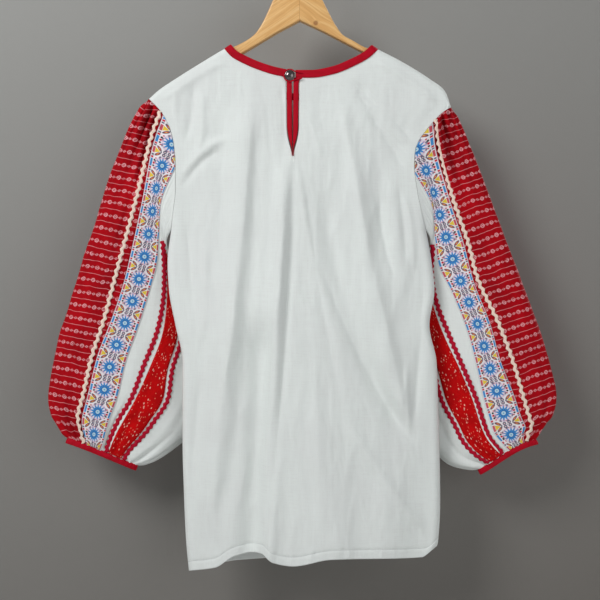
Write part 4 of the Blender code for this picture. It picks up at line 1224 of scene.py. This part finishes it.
def build_zigzag(name, sign, zigzag, grid, outward):
    """A braid that sways from side to side along the middle of its strip."""
    rows, columns = place_of(zigzag, sign)
    low, high = columns[0], columns[-1]
    centre = (grid[rows, low] + grid[rows, high]) / 2
    normal = unit(outward[rows, low] + outward[rows, high])
    arc = arc_of(centre)
    places = np.arange(0, arc[-1], BRAID_STEP)
    path = resample(centre, arc, places)
    normal = unit(resample(normal, arc, places))
    across = unit(np.cross(unit(np.gradient(path, axis=0)), normal))
    sway = zigzag.swing * np.sin(2 * math.pi * places / zigzag.step)
    path = path + across * sway[:, None] + normal * (CLOTH / 2 + BRAID / 2 + BRAID_GAP)
    half, thick, look = zigzag.half_width, BRAID / 2, LOOKS[zigzag.look]
    return ride(sweep(name + "_braid", path, across, normal, half, thick, look, sides=8), name)


def build_cuff(name, side, rim, way):
    """The binding round the wrist, with small puckers from the gathers that it holds."""
    turn = np.linspace(0, 2 * math.pi, CUFF_POINTS, endpoint=False)
    share = (1 - np.cos(turn)) / 2
    loop = rim[HALF_COLUMNS] + (rim[0] - rim[HALF_COLUMNS]) * share[:, None]
    last = SLEEVES[side][-1]
    loop[:, 0], loop[:, 2] = row_line(last, side, share)
    round_off = np.abs(np.sin(turn)) ** 0.7 * np.sign(np.sin(turn))
    loop[:, 1] += (last.half_depth - CUFF_LIFT) * round_off
    half = CUFF_BINDING_WIDTH / 2
    loop = true_place(loop) + way * (CUFF_LIP + half - CUFF_INSET)
    across = np.tile(way, (len(loop), 1))
    outward = unit(np.cross(np.roll(loop, -1, axis=0) - np.roll(loop, 1, axis=0), across))
    outward *= np.sign(((loop - loop.mean(axis=0)) * outward).sum(axis=1))[:, None]
    pucker = CUFF_PUCKER * np.sin(turn * CUFF_PUCKERS + np.sin(turn * 5))
    loop = loop + outward * (CUFF_LIFT + pucker)[:, None]
    thick, look = BINDING / 2, LOOKS["binding"]
    band = sweep(name + "_cloth", loop, across, outward, half, thick, look, closed=True)
    return ride(band, name + "_binding")


def build_sleeve(side):
    """Both panels of a sleeve, and the trims that each carries."""
    name = "left" if side < 0 else "right"
    grid, outward, plain, way = sleeve_grid(side)
    first, last = HALF_COLUMNS - STARTS.ribbon, HALF_COLUMNS + STARTS.ribbon
    over_grid, uv = grid[:, first : last + 1], stripe_uv(plain, side)[:, first : last + 1]
    over = cloth(f"{name}_overarm_cloth", over_grid, uv, CLOTH, LOOKS["stripe"])
    under_grid = np.concatenate([grid[:, last:], grid[:, 1 : first + 1]], axis=1)
    uv = np.stack([arc_of(under_grid, axis=1), arc_of(under_grid) + METRE], axis=-1)
    under = cloth(f"{name}_underarm_cloth", under_grid, uv, CLOTH, LOOKS["white"])
    ride(over, f"{name}_overarm_panel")
    ride(under, f"{name}_underarm_panel")
    trims = {"over": [], "under": []}
    lifted = grid + outward * (CLOTH / 2 + RIBBON_GAP + RIBBON / 2)
    faces = (("back", 1), ("front", -1))
    for band in BANDS:
        for face, sign in faces:
            piece = build_band(f"{name}_{band.name}_{face}", side, sign, band, lifted)
            trims["under"].append(piece)
    for zigzag in ZIGZAGS:
        for face, sign in faces:
            piece = build_zigzag(f"{name}_{zigzag.name}_{face}", sign, zigzag, grid, outward)
            trims["over" if zigzag.look == "cream" else "under"].append(piece)
    trims["under"].append(build_cuff(f"{name}_cuff", side, plain[-2], way))
    return over, under, trims


sleeves = {side: build_sleeve(side) for side in (-1, 1)}


def curve_object(name, points, diameter, material):
    curve = bpy.data.curves.new(name, "CURVE")
    curve.dimensions = "3D"
    curve.bevel_depth = diameter / 2 / METRE
    curve.bevel_resolution = 5
    curve.use_fill_caps = True
    spline = curve.splines.new("NURBS")
    spline.points.add(len(points) - 1)
    for point, place in zip(spline.points, points):
        point.co = (*(np.array(place) / METRE), 1)
    spline.use_endpoint_u = True
    spline.order_u = 3
    curve.materials.append(material)
    return add_object(name, curve)


def round_end(start, end):
    """Points of a half round from start to end, bulging away from the board's middle."""
    start, end = np.array(start, float), np.array(end, float)
    centre, half = (start + end) / 2, (start - end) / 2
    away = np.array([-half[1], half[0]])
    if away[0] * centre[0] < 0:
        away = -away
    angles = np.radians([30, 60, 90, 120, 150])
    return [tuple(centre + half * math.cos(a) + away * 0.55 * math.sin(a)) for a in angles]


def wood_outline():
    """The board's edge, seen from the front: its arms and crown, then back along its underside."""
    arms = [(x, float(shoulder(x)) - WOOD_BELOW_CLOTH) for x in WOOD_ARMS_X]
    tops = sorted(arms + WOOD_CROWN)
    upper = smooth_curve(tops)
    xs = [*np.arange(tops[0][0], tops[-1][0], WOOD_STEP), tops[-1][0]]
    outline = [(x, float(upper(x))) for x in xs]
    outline += round_end(outline[-1], WOOD_UNDERSIDE[-1])
    outline += WOOD_UNDERSIDE[::-1]
    return outline + round_end(WOOD_UNDERSIDE[0], outline[0])


def build_wood():
    """A flat board in the outline of a hanger, rounded along its edges."""
    outline = wood_outline()
    curve = bpy.data.curves.new("hanger_board", "CURVE")
    curve.dimensions = "2D"
    curve.fill_mode = "BOTH"
    curve.extrude = (WOOD_THICK / 2 - WOOD_ROUND) / METRE
    curve.bevel_depth = WOOD_ROUND / METRE
    curve.bevel_resolution = 4
    curve.offset = -WOOD_ROUND / METRE
    spline = curve.splines.new("POLY")
    spline.points.add(len(outline) - 1)
    for point, (x, z) in zip(spline.points, outline):
        point.co = (x / METRE, z / METRE, 0, 1)
    spline.use_cyclic_u = True
    flat = add_object("hanger_board_outline", curve)
    flat.rotation_euler = (math.pi / 2, 0, 0)
    bpy.context.view_layer.update()
    graph = bpy.context.evaluated_depsgraph_get()
    mesh = bpy.data.meshes.new_from_object(flat.evaluated_get(graph))
    mesh.transform(flat.matrix_world)
    bpy.data.objects.remove(flat)
    with editing(mesh) as board:
        bmesh.ops.remove_doubles(board, verts=board.verts, dist=1e-5)
        bmesh.ops.recalc_face_normals(board, faces=board.faces)
    mesh.shade_smooth()
    mesh.set_sharp_from_angle(angle=math.radians(30))
    mesh.materials.clear()
    mesh.materials.append(LOOKS["pine"])
    ride(add_object("hanger_board", mesh), "hanger_wood")


def build_hook():
    top_of_wood = max(row.z for row in WOOD_CROWN)
    points = [(0, 0, top_of_wood + height) for height in HOOK_SHANK]
    centre_z = HOOK_WIRE / 2 - HOOK_RADIUS
    for turn in np.radians(HOOK_ARC):
        points.append((HOOK_RADIUS * math.cos(turn), 0, centre_z + HOOK_RADIUS * math.sin(turn)))
    ride(curve_object("hook_wire", points, HOOK_WIRE, LOOKS["steel"]), "hanger_hook")


def build_button(place_y):
    """A domed metal button with a raised rim."""
    profile = list(BUTTON_RIM)
    for turn in np.radians(BUTTON_DOME):
        profile.append((DOME_SHARE * math.cos(turn), DOME_FOOT + (1 - DOME_FOOT) * math.sin(turn)))
    mesh = bpy.data.meshes.new("button_dome")
    with editing(mesh) as dome:
        verts = [
            dome.verts.new((BUTTON_RADIUS / METRE * out, 0, BUTTON_HEIGHT / METRE * height))
            for out, height in reversed(profile)
        ]
        for one, other in zip(verts, verts[1:]):
            dome.edges.new((one, other))
        bmesh.ops.spin(
            dome, geom=dome.verts[:] + dome.edges[:], cent=(0, 0, 0), axis=(0, 0, 1),
            angle=2 * math.pi, steps=BUTTON_SIDES, use_merge=True,
        )
        bmesh.ops.remove_doubles(dome, verts=dome.verts, dist=1e-6)
        bmesh.ops.recalc_face_normals(dome, faces=dome.faces)
    mesh.shade_smooth()
    mesh.materials.append(LOOKS["button"])
    obj = add_object("button_dome", mesh)
    obj.location = (BUTTON_X / METRE, place_y / METRE, BUTTON_Z / METRE)
    obj.rotation_euler = (math.pi / 2, 0, 0)
    return ride(obj, "button")


def build_loop(place_y):
    """A cord round the button, its ends one above the other at the slit's right edge."""
    radius = BUTTON_RADIUS + LOOP_WIRE / 2 + LOOP_GAP
    points = [(LOOP_END_X, place_y, BUTTON_Z + LOOP_END_RISE)]
    for turn in np.radians(LOOP_ARC):
        points.append((BUTTON_X + radius * math.cos(turn), place_y, BUTTON_Z + radius * math.sin(turn)))
    points.append((LOOP_END_X, place_y, BUTTON_Z - LOOP_END_RISE))
    return ride(curve_object("loop_cord", points, LOOP_WIRE, LOOKS["binding"]), "button_loop")


build_wood()
build_hook()
button = build_button(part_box("button")[1][1] * METRE)
loop_low, loop_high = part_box("button_loop")
loop = build_loop((loop_low[1] + loop_high[1]) / 2 * METRE)

STAGE_SIZE = 8.0
WALL_Y = 0.085
FLOOR_Z = -1.35


def stage_plane(name, place, turn, colour):
    look = Look(name + "_look", colour, Roughness=0.9)
    x, y, z = look.place()
    look.bump(look.noise((x * 0.4, y * 0.4, z * 0.4), 3.0), 0.15)
    half = STAGE_SIZE / 2
    corners = [(-half, -half, 0), (half, -half, 0), (half, half, 0), (-half, half, 0)]
    mesh = bpy.data.meshes.new(name)
    mesh.from_pydata(corners, [], [(0, 1, 2, 3)])
    mesh.materials.append(look.material)
    obj = add_object(name, mesh)
    obj.location = place
    obj.rotation_euler = turn
    return obj, look


def see_through_from_behind(look):
    """The wall shows only from its front, so it doesn't hide the object from behind."""
    back_side = add_node(look.tree, "NewGeometry", {}).outputs["Backfacing"]
    clear = add_node(look.tree, "BsdfTransparent", {}).outputs[0]
    mix = add_node(look.tree, "MixShader", {0: back_side, 1: look.shader.outputs[0], 2: clear})
    look.tree.links.new(mix.outputs[0], look.tree.nodes["Material Output"].inputs["Surface"])


def area_light(name, place, target, size, power):
    light = bpy.data.lights.new(name, "AREA")
    light.shape = "DISK"
    light.size = size
    light.energy = power
    obj = add_object(name, light)
    obj.location = place
    obj.rotation_euler = (Vector(target) - Vector(place)).to_track_quat("-Z", "Y").to_euler()


stage_plane("floor", (0, 0, FLOOR_Z), (0, 0, 0), FLOOR_GREY)
wall, wall_look = stage_plane("wall", (0, WALL_Y, 0), (math.pi / 2, 0, 0), WALL_GREY)
wall.visible_shadow = False
wall_x, wall_z, _ = wall_look.place()
# Painted shade: the wall is painted darker towards the bottom right, where less of the key light reaches
# it
wall_look.paint((wall_x * 0.35 - wall_z).above(480.0, 1400.0), WALL_PAINTED_SHADE)
see_through_from_behind(wall_look)

area_light("key", (-1.4, -1.5, 0.9), (0, 0, -0.45), 1.1, 37.5)
area_light("fill", (1.5, -1.9, -0.2), (0, 0, -0.5), 2.0, 13.0)
area_light("back", (1.5, 1.5, 0.7), (0, 0, -0.45), 1.2, 32.0)

world = bpy.data.worlds.new("studio")
world.use_nodes = True
sky = world.node_tree.nodes["Background"].inputs
sky["Color"].default_value = (0.94, 0.97, 1.0, 1)
sky["Strength"].default_value = 0.27
bpy.context.scene.world = world
bpy.context.scene.view_settings.view_transform = "Standard"

camera = bpy.data.cameras.new("camera")
camera.sensor_width = 36.0
camera.lens = FOCAL_PIXELS / IMAGE_PIXELS * camera.sensor_width
viewer = add_object("camera", camera)
viewer.location = (CAMERA_X / METRE, -SEEN_FROM / METRE, SEEN_HEIGHT / METRE)
viewer.rotation_euler = (math.pi / 2, 0, 0)
bpy.context.scene.camera = viewer

bpy.context.view_layer.update()
